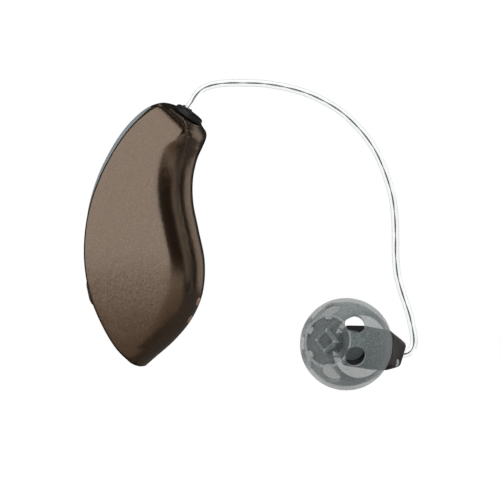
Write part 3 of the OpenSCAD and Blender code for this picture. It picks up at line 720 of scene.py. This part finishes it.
def on_spine(t):
    return frame_on(back_at(t), Vector((0, 1, 0)).cross(slope(back_at, t)))


def slab(x, y, low, high):
    return [[(a * x / 2, b * y / 2, z) for a, b in CORNERS] for z in (low, high)]


for row in CONTACT_ROWS:
    drill = [circle(CONTACT_R + FIT, z) for z in CONTACT_DRILL]
    cut_away(shell, loose_loft(placed(on_front(row), drill)))
on_seat = frame_on((back_at(0) + front_at(0)) / 2, seat_out)
mouth = slab(SOCKET_W + 2 * FIT, SOCKET_D + 2 * FIT, -SOCKET_REACH, SOCKET_REACH)
cut_away(shell, loose_loft(placed(on_seat, mouth)))
finish_piece(shell, ["body_shell"], 28)

# %% [markdown]
# The spine cover closes the open back. On the real thing it is a separate grey moulding with a crowned face,
# two microphone ports and a slot for the button. It keeps a hair's gap to the housing, which reads as a fine
# dark seam.

# %% Spine cover
PORT_R, MIC_ROWS = 0.32, (3.2, 4.9)
BUTTON_ROW, BUTTON_L, BUTTON_W = 7.9, 3.4, 2.2
END_GAP, COVER_SOFT = 0.03, 0.12
COVER_CROWN_STEPS, COVER_ROWS = 30, 120
THROUGH = (-1.8, 2.4)


def cover_ring(t):
    edge = rim_y(t) - FIT
    crown = crown_line(t, edge - COVER_SOFT / 2, COVER_CROWN_STEPS)
    return lift(t, [(COVER_SOFT, -edge)] + crown + [(COVER_SOFT, edge), (COVER_T, edge), (COVER_T, -edge)])


def stadium(length, width, z, steps=20):
    ring = []
    for side, start in ((1, -math.pi / 2), (-1, math.pi / 2)):
        turns = [start + math.pi * i / steps for i in range(steps + 1)]
        ring += [(side * (length - width) / 2 + width / 2 * math.cos(q), width / 2 * math.sin(q), z)
                 for q in turns]
    return ring


cover_rows = rows_between(OPEN_ROW + END_GAP, CLOSE_ROW - END_GAP, COVER_ROWS)
cover = loose_loft([cover_ring(t) for t in cover_rows], "crowned_cover")
for row in MIC_ROWS:
    cut_away(cover, loose_loft(placed(on_spine(row), [circle(PORT_R, z) for z in THROUGH])))
slot_rings = [stadium(BUTTON_L + 2 * FIT, BUTTON_W + 2 * FIT, z) for z in THROUGH]
cut_away(cover, loose_loft(placed(on_spine(BUTTON_ROW), slot_rings)))
finish_piece(cover, ["spine_cover"], 40)

# %% [markdown]
# The button is a soft-edged bar that stands just proud of the cover. Its face bulges along its length and
# across it, so a fingertip finds it without looking. Rings that shrink towards the middle give that bulge.

# %% Push button
BUTTON_FOOT, BUTTON_FLANGE, BUTTON_FLANGE_T, BUTTON_PROUD = -1.25, 0.5, 0.2, 0.3
BULGE, BULGE_STEPS, NEARLY_ALL = 0.45, 14, 0.98
button_top = CROWN_H * along(CROWN, BUTTON_ROW) + BUTTON_PROUD
flange_top = BUTTON_FOOT + BUTTON_FLANGE_T
bar = [stadium(BUTTON_L + BUTTON_FLANGE, BUTTON_W + BUTTON_FLANGE, z) for z in (BUTTON_FOOT, flange_top)]
bar.append(stadium(BUTTON_L, BUTTON_W, flange_top))
for i in range(BULGE_STEPS):
    q = math.pi / 2 * i / BULGE_STEPS
    shrink = BUTTON_W * (1 - math.cos(q)) * NEARLY_ALL
    bar.append(stadium(BUTTON_L - shrink, BUTTON_W - shrink, button_top - BULGE * (1 - math.sin(q))))
piece_from("push_button_cap", [placed(on_spine(BUTTON_ROW), bar)], ["push_button"], 40)

# %% [markdown]
# Two copper-coloured contacts sit in the front edge and meet the pins of a charging cradle. Real ones are
# turned pins with a slightly domed, polished face and a fine chamfer. A turned part is a stack of circles.

# %% Charging contacts
FLANGE_R, FLANGE_LOW, FLANGE_HIGH = 0.75, -1.12, -0.92
CHAMFER, CHAMFER_FOOT, CHAMFER_RISE, FACE_R, FACE_RISE = 0.1, -0.04, 0.06, 0.4, 0.04
face_foot = CHAMFER_FOOT + CHAMFER_RISE
for name, row in zip(("charge_contact_upper", "charge_contact_lower"), CONTACT_ROWS):
    pin = [circle(FLANGE_R, FLANGE_LOW), circle(FLANGE_R, FLANGE_HIGH), circle(CONTACT_R, FLANGE_HIGH)]
    pin.append(circle(CONTACT_R, CHAMFER_FOOT))
    pin += [circle(CONTACT_R - CHAMFER * (1 - math.cos(q)), CHAMFER_FOOT + CHAMFER_RISE * math.sin(q))
            for q in (0.4, 0.8, 1.2)]
    pin += [circle(r, face_foot + FACE_RISE * (1 - (r / FACE_R) ** 2)) for r in (FACE_R, 0.3, 0.2, 0.1, 0.03)]
    piece_from(name.replace("charge", "domed"), [placed(on_front(row), pin)], [name], 40)

# %% [markdown]
# The receiver's plug closes the top with a small black plate, rounded at both ends. A short collar on it
# holds the wire tube. Both have soft edges, so the rings step in along small quarter circles.

# %% Plug
PLATE_L, PLATE_W, PLATE_T, PLATE_GAP, PLATE_EDGE = 3.5, 3, 0.55, 0.05, 0.16
SHANK_W, SHANK_D, SHANK_L = 2.2, 1.3, 3
COLLAR_R, COLLAR_H, EXIT_SHIFT, COLLAR_FOOT, COLLAR_EDGE, COLLAR_BORE = 0.62, 0.28, 0.55, 0.12, 0.06, 0.42
EDGE_RINGS = 4
QUARTER = [math.pi / 2 * i / EDGE_RINGS for i in range(EDGE_RINGS + 1)]


def stepped_in(make_ring, z, edge):
    turns = QUARTER if edge > 0 else QUARTER[::-1]
    return [make_ring(abs(edge) * (1 - math.sin(q)), z + edge * (1 - math.cos(q))) for q in turns]


def soft_bar(length, width, low, high, edge):
    def ring(pull, z):
        return stadium(length - 2 * pull, width - 2 * pull, z)
    return stepped_in(ring, low, edge) + stepped_in(ring, high, -edge)


collar_top = PLATE_T + COLLAR_H
collar = [circle(COLLAR_R + COLLAR_FOOT, PLATE_T), circle(COLLAR_R, PLATE_T + COLLAR_FOOT),
          circle(COLLAR_R, collar_top - COLLAR_EDGE), circle(COLLAR_R - COLLAR_EDGE, collar_top),
          circle(COLLAR_BORE, collar_top)]
collar = [[(x - EXIT_SHIFT, y, z + PLATE_GAP) for x, y, z in ring] for ring in collar]
plate = soft_bar(PLATE_L, PLATE_W, PLATE_GAP, PLATE_GAP + PLATE_T, PLATE_EDGE)
shank = slab(SHANK_W, SHANK_D, -SHANK_L, PLATE_GAP + 0.1)
piece_from("plug_plate", [placed(on_seat, part) for part in (plate, shank, collar)], ["plug_body"])

# %% [markdown]
# The wire tube leaves the plug, arches over the ear and comes down to the receiver. It is a stiff clear tube
# that was formed over a mandrel, so it keeps this path by itself. The path is the exact model's, made smooth:
# shares of how far it reaches, how far it moves to the side and how far it drops.

# %% The tube's path
ROUTE_SHARES = [(0, 0, 0), (0.02, 0, 0.024), (0.032, 0, 0.042), (0.048, 0, 0.06), (0.072, 0, 0.077),
                (0.107, 0, 0.089), (0.147, 0, 0.096), (0.203, 0, 0.099), (0.258, 0, 0.098), (0.365, 0, 0.093),
                (0.476, 0, 0.075), (0.587, 0, 0.044), (0.699, 0, -0.008), (0.774, 0, -0.06),
                (0.845, 0, -0.128), (0.897, 0, -0.198), (0.94, 0, -0.286), (0.968, 0, -0.369),
                (0.98, 0, -0.446), (0.984, 0, -0.526), (0.984, 0, -0.601), (0.99, 0, -0.671),
                (1.002, 0, -0.723), (1.024, 0, -0.786), (1.048, 0, -0.849), (1.063, 0, -0.908),
                (1.069, 0, -0.946), (1.067, 0, -0.971), (1.059, -0.011, -0.989), (1.046, -0.067, -1.002),
                (1.03, -0.156, -1.007), (1.016, -0.322, -1.006), (1.007, -0.567, -1.003), (1, -1, -1)]
REACH, OFFSET, DROP = 25.2, 1.8, 27.8
PATH_STEPS = 330
tube_start = on_seat @ Vector((-EXIT_SHIFT, 0, PLATE_GAP + collar_top))
ROUTE = [(x * REACH, y * OFFSET, z * DROP) for x, y, z in ROUTE_SHARES]
path = [tube_start + Vector(along(ROUTE, t)) for t in rows_between(0, len(ROUTE) - 1, PATH_STEPS)]


def path_frames(stations):
    side, frames = Vector((0, 1, 0)), []
    for i, point in enumerate(stations):
        ahead = (stations[min(i + 1, len(stations) - 1)] - stations[max(i - 1, 0)]).normalized()
        side = (side - ahead * side.dot(ahead)).normalized()
        frames.append((point, side, ahead.cross(side)))
    return frames


def hose_ring(spot, radius, count):
    point, u, v = spot
    turns = [math.tau * k / count for k in range(count)]
    return [tuple(point + radius * (math.cos(q) * u + math.sin(q) * v)) for q in turns]


frames = path_frames(path)
print("the wire is", round(sum((b - a).length for a, b in zip(path, path[1:])), 1), "mm long")

# %% [markdown]
# Inside the real tube, two thin insulated wires are twisted round each other and show as a dark line that
# wavers slightly. The tube is drawn without a bore here: the clear plastic reaches right to the wires. A
# bore would add two more surfaces that bend light, and in so thin a tube they would hide the wires.

# %% Clear tube and twisted wires
TUBE_R, TUBE_SIDES = 0.4, 20
WIRE_R, TWIST_R, PITCH, WIRE_SIDES = 0.033, 0.034, 5.2, 10
rings = [hose_ring(spot, TUBE_R, TUBE_SIDES) for spot in frames]
piece_from("clear_wire_tube", [rings], ["wire_tube"], 60)
travelled, strands = 0.0, ([], [])
for i, (point, u, v) in enumerate(frames):
    travelled += (path[i] - path[i - 1]).length if i else 0
    for n in (0, 1):
        q = math.tau * travelled / PITCH + math.pi * n
        centre = point + TWIST_R * (math.cos(q) * u + math.sin(q) * v)
        strands[n].append(hose_ring((centre, u, v), WIRE_R, WIRE_SIDES))
piece_from("twisted_wires", strands, ["wire_core"], 60)

# %% [markdown]
# The receiver is the tiny loudspeaker that sits in the ear canal. Its case is a block with rounded corners,
# so its rings are rounded rectangles. The first and last rings of a part step in for a soft edge.

# %% Rounded blocks
def round_block(w, h, r, z, steps=8):
    ring = []
    for quarter, (a, b) in enumerate(((1, 1), (-1, 1), (-1, -1), (1, -1))):
        for i in range(steps + 1):
            q = math.pi / 2 * (quarter + i / steps)
            ring.append((a * (w / 2 - r) + r * math.cos(q), b * (h / 2 - r) + r * math.sin(q), z))
    return ring


def soft_end(station, edge):
    w, h, r, z = station
    return stepped_in(lambda pull, level: round_block(w - 2 * pull, h - 2 * pull, r - pull, level), z, edge)


def eased(stations, edge):
    between = [round_block(*station) for station in stations[1:-1]]
    return soft_end(stations[0], edge)[:-1] + between + soft_end(stations[-1], -edge)


def twisted(ring, q):
    return [(x * math.cos(q) + y * math.sin(q), y * math.cos(q) - x * math.sin(q), z) for x, y, z in ring]


print("a rounded block's ring has", len(round_block(1, 1, 0.1, 0)), "points")

# %% [markdown]
# The case is two black mouldings with a fine joint between them. The back one tapers towards the tube and
# seems rolled a little about its own length, so its rings twist by 16 degrees towards the back end. The
# exact model's doesn't twist. The front one carries the nozzle, a turned tube with a groove for the dome.

# %% Receiver case
TURN, RISE = math.radians(-12.5), math.radians(6.5)
CASE_W, CASE_H, CASE_L, CASE_R = 3.2, 4.4, 9.2, 0.7
REAR_W, REAR_H, REAR_R, REAR_L = 2.4, 3.0, 0.6, 3.4
REAR_TWIST = math.radians(16)
REAR_EDGE, FRONT_EDGE = 0.06, 0.08
NOZZLE_R, NOZZLE_L, BORE, BORE_DEPTH = 1.1, 2.6, 0.75, 0.4
NOZZLE = [(NOZZLE_R, -0.1), (NOZZLE_R, 0.7), (1.02, 0.8), (1.02, 1.2), (NOZZLE_R, 1.3), (NOZZLE_R, 2.4),
          (1.02, 2.55), (0.95, NOZZLE_L), (0.76, NOZZLE_L), (BORE, 2.55), (BORE, BORE_DEPTH)]
receiver_at = tube_start + Vector((REACH, -OFFSET, -DROP))
on_receiver = (Matrix.Translation(receiver_at) @ Matrix.Rotation(TURN, 4, "Z")
               @ Matrix.Rotation(math.pi / 2 - RISE, 4, "X"))


def rear_station(s):
    return (REAR_W + (CASE_W - REAR_W) * s, REAR_H + (CASE_H - REAR_H) * s, REAR_R + (CASE_R - REAR_R) * s,
            REAR_L * s)


rear = eased([rear_station(s) for s in (0, 0.08, 0.3, 0.6, 0.95, 1)], REAR_EDGE)
rear = [twisted(ring, REAR_TWIST * (1 - ring[0][2] / REAR_L)) for ring in rear]
piece_from("receiver_back", [placed(on_receiver, rear)], ["case_rear"])
front = eased([(CASE_W, CASE_H, CASE_R, z) for z in (REAR_L, 3.6, 6, 8.8, CASE_L)], FRONT_EDGE)
nozzle = [circle(r, CASE_L + z) for r, z in NOZZLE]
piece_from("receiver_front", [placed(on_receiver, part) for part in (front, nozzle)], ["case_front"])

# %% [markdown]
# The dome is one thin moulding: a part of a ball with a rolled skirt, a recessed tip and a sleeve that grips
# the nozzle. We turn one closed outline about the nozzle's axis, as one would on a lathe. The outline is a
# list of radii, each with a height from the tip's plane or from the receiver's back end.

# %% The dome's outline
DOME_R, SKIN, DOME_Z, SKIRT, TIP, TIP_T, MOUTH = 5.0, 0.45, 11.0, -3.0, 4.0, 0.6, 1.0
SLEEVE_IN, SLEEVE_T, SLEEVE_GAP, SLEEVE_SOFT, SLEEVE_ROOT = NOZZLE_R + FIT, 0.45, 0.3, 0.1, 0.15
STEP_INSIDE = 0.45
SKIRT_ROLL = 0.02
AROUND = 96
TIP_PROFILE = [(2.86, 0), (2.66, 0), (2.6, -0.06), (2.52, -0.22), (1.72, -0.26), (1.64, -0.14), (1.56, -0.1),
               (1.1, -0.1), (MOUTH, -0.16)]


def arc(radius, first_height, last_height, steps, short=0.0):
    low, high = math.asin(first_height / radius), math.asin(last_height / radius) - short
    turns = [low + (high - low) * i / steps for i in range(steps + 1)]
    return [(radius * math.cos(q), DOME_Z + radius * math.sin(q)) for q in turns]


inner_r = DOME_R - SKIN
tip_z, skirt_z = DOME_Z + TIP, DOME_Z + SKIRT
nozzle_tip, sleeve_foot, sleeve_out = CASE_L + NOZZLE_L, CASE_L + SLEEVE_GAP, SLEEVE_IN + SLEEVE_T
outline = arc(DOME_R, SKIRT, TIP, 40, 0.02)
outline += [(r, tip_z + z) for r, z in TIP_PROFILE]
outline += [(MOUTH, nozzle_tip + STEP_INSIDE), (SLEEVE_IN, nozzle_tip + STEP_INSIDE),
            (SLEEVE_IN, sleeve_foot + SLEEVE_SOFT), (SLEEVE_IN + SLEEVE_SOFT, sleeve_foot),
            (sleeve_out - SLEEVE_SOFT, sleeve_foot), (sleeve_out, sleeve_foot + SLEEVE_SOFT),
            (sleeve_out, tip_z - TIP_T - SLEEVE_ROOT), (sleeve_out + SLEEVE_ROOT, tip_z - TIP_T)]
outline += arc(inner_r, TIP - TIP_T, SKIRT, 36)
outline += [(math.sqrt(inner_r ** 2 - SKIRT ** 2) + 0.12, skirt_z - SKIRT_ROLL),
            (math.sqrt(DOME_R ** 2 - SKIRT ** 2) - 0.1, skirt_z - SKIRT_ROLL)]
print("the dome's outline has", len(outline), "points")

# %% [markdown]
# The ring of vents lets air past, so the ear doesn't feel closed. Each vent is cut by a short rod that leans
# out from the dome's centre. We keep each rod's place, to find the walls of its hole again afterwards.

# %% Dome and vents
VENTS, VENT_R, VENT_TURN, VENT_LEAN = 6, 1.1, math.radians(-26), math.radians(46)
turned = placed(on_receiver, [circle(r, z, AROUND) for r, z in outline])
dome = on_bench("soft_dome", mesh_from("soft_dome", *joined([turned], True)))
vents = []
for k in range(VENTS):
    lean = (on_receiver @ Matrix.Translation((0, 0, DOME_Z))
            @ Matrix.Rotation(VENT_TURN + math.tau * k / VENTS, 4, "Z") @ Matrix.Rotation(VENT_LEAN, 4, "Y"))
    vents.append(lean.inverted())
    rod = [circle(VENT_R, DOME_R - 2 * SKIN), circle(VENT_R, DOME_R + SKIN)]
    cut_away(dome, loose_loft(placed(lean, rod)))
finish_piece(dome, ["dome"], 40)

# %% [markdown]
# The same silicone gets painted light here: the walls of the cut vents and the edges of the tip's lip and of
# the skirt get a lighter colour, a painted highlight, and the bottom of the recess gets a darker, less clear
# one, a painted shade. So those faces get finishes of their own, picked by where they lie.

# %% Painted highlight on the dome's edges and painted shade in its recess
PAINTED_SHADE, PAINTED_HIGHLIGHT = 1, 2
LIP_IN, LIP_OUT, LIP_DEPTH, RECESS_R, RECESS_DEPTH, SKIRT_EDGE = 2.6, 2.87, 0.1, 2.61, 0.4, 0.03
WALL_BAND, WALL_TILT = 0.06, 0.3


def is_vent_wall(face):
    for vent in vents:
        x, y, z = vent @ (face.center / MM)
        near_rod = z > 0 and abs(math.hypot(x, y) - VENT_R) < WALL_BAND
        if near_rod and abs((vent.to_3x3() @ face.normal).z) < WALL_TILT:
            return True
    return False


def is_painted_highlight_rim(radius, z):
    return (z > tip_z - LIP_DEPTH and LIP_IN < radius < LIP_OUT) or z < skirt_z + SKIRT_EDGE


# Two more finishes: a darker one for painted shade in the recess, and a lighter one for painted highlight on
# the edges.
dome.data.materials.append(smoky_silicone("recess_painted_shade", (0.18, 0.205, 0.205), 0.6))
dome.data.materials.append(smoky_silicone("edge_painted_highlight", (0.72, 0.78, 0.78), 0.8))
for face in dome.data.polygons:
    x, y, z = on_receiver.inverted() @ (face.center / MM)
    if is_vent_wall(face) or is_painted_highlight_rim(math.hypot(x, y), z):
        face.material_index = PAINTED_HIGHLIGHT
    elif z > tip_z - RECESS_DEPTH and math.hypot(x, y) < RECESS_R:
        face.material_index = PAINTED_SHADE
print("faces by finish", [sum(f.material_index == n for f in dome.data.polygons) for n in (0, PAINTED_SHADE, PAINTED_HIGHLIGHT)])

# %% [markdown]
# A square frame, set on its corner, stands in the recess round the mouth. It stiffens the tip, and it is wide
# enough for the wax guard to come out through it. Its outer and inner walls are square rings joined at the
# ends. Its smallest faces lie along its edges, and they get the lighter finish as a painted highlight.

# %% Square frame of the dome's mouth
FRAME_OUT, FRAME_IN, FRAME_LOW, FRAME_HIGH, FRAME_TURN = 1.95, 1.32, TIP - 0.2, TIP + 0.6, math.radians(42)
FRAME_R, FRAME_SOFT = 0.12, 0.1
EDGE_FACE = 0.06 * MM * MM
walls = [(FRAME_OUT + FRAME_SOFT, FRAME_LOW), (FRAME_OUT, FRAME_LOW + FRAME_SOFT),
         (FRAME_OUT, FRAME_HIGH - 0.05), (FRAME_OUT - FRAME_SOFT, FRAME_HIGH),
         (FRAME_IN + 0.08, FRAME_HIGH), (FRAME_IN, FRAME_HIGH - 0.04), (FRAME_IN, FRAME_LOW)]
walls = [round_block(side, side, FRAME_R, DOME_Z + z) for side, z in walls]
mouth_turn = on_receiver @ Matrix.Rotation(FRAME_TURN, 4, "Z")
mouth_frame = piece_from("mouth_frame", [placed(mouth_turn, walls)], ["dome"], closed=True)
# Painted highlight: the frame's small edge faces get the dome's lighter edge finish.
mouth_frame.data.materials.append(dome.data.materials[PAINTED_HIGHLIGHT])
for face in mouth_frame.data.polygons:
    face.material_index = 1 if face.area < EDGE_FACE else 0

# %% [markdown]
# A wax guard sits in the nozzle's mouth: a short cup whose cap is a square grid, set on its corner. It pulls
# out when it is clogged. The cap is cut first and the cup's mesh is added to it after that, because the two
# overlap, and a cutter works best on one closed skin.

# %% Wax guard
GUARD_R, CUP_DEPTH, CUP_WALL = BORE - FIT / 2, 1.2, 0.3
CAP_SIDE, CAP_R, HOLE_SHIFT, HOLE_R, HOLE_SIDES = 1.25, 0.12, 0.28, 0.2, 20
CAP_STEPS = ((0, 0.01), (0, 0.2), (0.02, 0.25), (0.06, 0.27))
cup = [circle(GUARD_R, nozzle_tip - CUP_DEPTH), circle(GUARD_R, nozzle_tip + FIT),
       circle(GUARD_R - CUP_WALL, nozzle_tip + FIT), circle(GUARD_R - CUP_WALL, nozzle_tip - CUP_DEPTH)]
cap = [round_block(CAP_SIDE - 2 * pull, CAP_SIDE - 2 * pull, CAP_R, nozzle_tip + z) for pull, z in CAP_STEPS]
guard = loose_loft(placed(on_receiver @ Matrix.Rotation(math.pi / 4, 4, "Z"), cap), "wax_guard_grid")
for a in (-HOLE_SHIFT, HOLE_SHIFT):
    for b in (-HOLE_SHIFT, HOLE_SHIFT):
        hole = on_receiver @ Matrix.Translation((a, b, 0))
        drill = [circle(HOLE_R, nozzle_tip + z, HOLE_SIDES) for z in (-1, 1)]
        cut_away(guard, loose_loft(placed(hole, drill)))
cup_mesh = mesh_from("cup", *joined([placed(on_receiver, cup)], True))
reshape(guard.data, lambda shape: shape.from_mesh(cup_mesh))
finish_piece(guard, ["wax_guard"])

# %% [markdown]
# The marker on the receiver's side is a printed dot of thick pale ink, so it stands a few hundredths of a
# millimetre proud and has a soft rim. Its place leans with the taper of the case and turns with its twist.

# %% Side marker
MARKER_R, MARKER_Z, MARKER_Y = 0.42, 1.55, -1.05
INK_DEPTH, INK_RISE, INK_RIM, INK_TOP = 0.15, 0.03, 0.12, 0.035
lean = math.atan2((CASE_W - REAR_W) / 2, REAR_L)
marker_place = (on_receiver @ Matrix.Rotation(-REAR_TWIST * (1 - MARKER_Z / REAR_L), 4, "Z")
                @ Matrix.Translation((REAR_W / 2 + MARKER_Z * math.tan(lean), MARKER_Y, MARKER_Z))
                @ Matrix.Rotation(math.pi / 2 - lean, 4, "Y"))
dot = [circle(MARKER_R, -INK_DEPTH)]
dot += [circle(MARKER_R - INK_RIM * (1 - math.cos(q)), INK_RISE * math.sin(q)) for q in (0, 0.5, 1.0, 1.5)]
dot += [circle(r, INK_TOP) for r in (0.2, 0.05)]
piece_from("printed_marker", [placed(marker_place, dot)], ["side_marker"], 40)

# %% [markdown]
# The studio is a white world, as a product picture has. To a shiny thing a white world would look flat, so a
# photographer stands dark and grey cards about it, outside the picture. Their reflections draw the dark band
# and the soft stripes along the rounded front edge. The cards here are patches of one large ball round the
# object, and only reflections see them. Each row of the table gives a card's limits in degrees, round from
# the side face and up from level, then how bright it is, and its tint.

# %% Cards
STAND_OFF = 0.22
MIDDLE = Vector((-0.004, 0, -0.006))
COLUMNS, LEVELS = 24, 12
PLAIN, AMBER, TAN = (1, 0.93, 0.86), (1, 0.6, 0.25), (1, 0.8, 0.62)
CARDS = [
    ("card_front_side", 8, 66, -9, 75, 0.022, AMBER),
    ("card_strip", 66, 86, -12, 75, 0.32, PLAIN),
    ("card_between", 86, 120, -12, 75, 0.012, AMBER),
    ("card_far_side", 120, 158, -12, 26, 0.55, PLAIN),
    ("card_far_top", 120, 158, 26, 75, 0.08, PLAIN),
    ("card_back", 158, 195, -12, 75, 0.02, PLAIN),
    ("card_under", 66, 195, -89, -12, 0.11, PLAIN),
    ("card_low_first", -75, 66, -13, -9, 0.68, (1, 0.92, 0.84)),
    ("card_low_second", -75, 66, -18, -13, 0.45, (1, 0.87, 0.75)),
    ("card_low_third", -75, 66, -25, -18, 0.32, (1, 0.82, 0.66)),
    ("card_low_last", -75, 66, -44, -25, 0.27, TAN),
    ("card_lowest", -75, 66, -89, -44, 0.1, TAN),
    ("card_far_left", -165, -75, -89, 70, 0.03, TAN),
    ("card_high", -75, 8, 38, 80, 0.04, PLAIN),
]


def way_to(azimuth, elevation):
    az, el = math.radians(azimuth), math.radians(elevation)
    return Vector((math.sin(az) * math.cos(el), -math.cos(az) * math.cos(el), math.sin(el)))


def card_faces(row):
    starts = [j * row + i for j in range(LEVELS) for i in range(COLUMNS)]
    return [(n, n + 1, n + row + 1, n + row) for n in starts]


for name, from_az, to_az, from_el, to_el, strength, tint in CARDS:
    points = [MIDDLE + STAND_OFF * way_to(az, el) for el in rows_between(from_el, to_el, LEVELS)
              for az in rows_between(from_az, to_az, COLUMNS)]
    felt = Finish(name, (0, 0, 0), 1.0, Emission_Color=tint, Emission_Strength=strength,
                  Specular_IOR_Level=0.0)
    board = on_bench(name, mesh_from(name, points, card_faces(COLUMNS + 1), 1))
    board.data.materials.append(felt.material)
    board.visible_camera = board.visible_diffuse = board.visible_transmission = board.visible_shadow = False
print(len(CARDS), "cards stand", STAND_OFF, "m away")

# %% [markdown]
# The world shows white to the camera, to reflections and through clear things. As a light it gives only a
# low, even level, so that the lamps can shape the object.

# %% World
EVEN_LEVEL = 0.12
world = bpy.data.worlds.new("studio")
bpy.context.scene.world = world
sky = Graph(world, "Background")
sky.plug("Color", (1, 1, 1))


def larger(first, second):
    return sky.node("ShaderNodeMath", {"operation": "MAXIMUM"}, {0: first, 1: second})


looking, mirrored, through = [sky.node("ShaderNodeLightPath", out=f"Is {kind} Ray")
                              for kind in ("Camera", "Glossy", "Transmission")]
sky.plug("Strength", EVEN_LEVEL + larger(larger(looking, mirrored), through) * (1 - EVEN_LEVEL))
print("the world lights at", EVEN_LEVEL, "of white")

# %% [markdown]
# Two broad lamps light the object from the camera's side, and a weaker one from behind. The first two give
# no highlight, because their round reflections on the coated paint would cross the stripes of the cards.

# %% Lamps
LAMP_AWAY = 0.3
LAMPS = [("lamp_left", -38, 30, 0.3, 0.16, False), ("lamp_right", 80, 20, 0.2, 0.12, False),
         ("lamp_behind", -120, 25, 0.1, 0.14, True)]
for name, azimuth, elevation, power, size, highlight in LAMPS:
    light = bpy.data.lights.new(name, "AREA")
    light.shape, light.size, light.energy = "DISK", size, power
    holder = on_bench(name, light)
    holder.location = MIDDLE + way_to(azimuth, elevation) * LAMP_AWAY
    holder.rotation_euler = way_to(azimuth, elevation).to_track_quat("Z", "Y").to_euler()
    holder.visible_glossy = highlight
print(len(LAMPS), "lamps stand", LAMP_AWAY, "m away")

# %% [markdown]
# The floor is pale and lies a little below, so it catches a soft shadow. It glows for the camera, which lifts
# it to the white of a product picture, and for rays through clear things, or the tube would look grey
# against it. Its glow is nothing to other rays, so it adds no light to the object. Reflections don't see it,
# because the low cards take its place there.

# %% Floor
FLOOR_DROP, FLOOR_HALF, GLOW = 0.012, 0.6, 0.93
floor_z = cad_box[0][2] - FLOOR_DROP
corners = [(a * FLOOR_HALF, b * FLOOR_HALF, floor_z) for a, b in CORNERS]
pale = Finish("pale_floor", (0.5, 0.5, 0.5), 0.9, Specular_IOR_Level=0.0, Emission_Strength=1.0)
seen = [pale.node("ShaderNodeLightPath", out=f"Is {kind} Ray") for kind in ("Camera", "Transmission")]
pale.plug("Emission Color", pale.mix(seen[0] + seen[1], (0, 0, 0), (GLOW, GLOW, GLOW)))
floor = on_bench("floor", mesh_from("floor", corners, [(0, 1, 2, 3)], 1))
floor.data.materials.append(pale.material)
floor.visible_glossy = False
print("the floor lies", FLOOR_DROP, "m below the model")
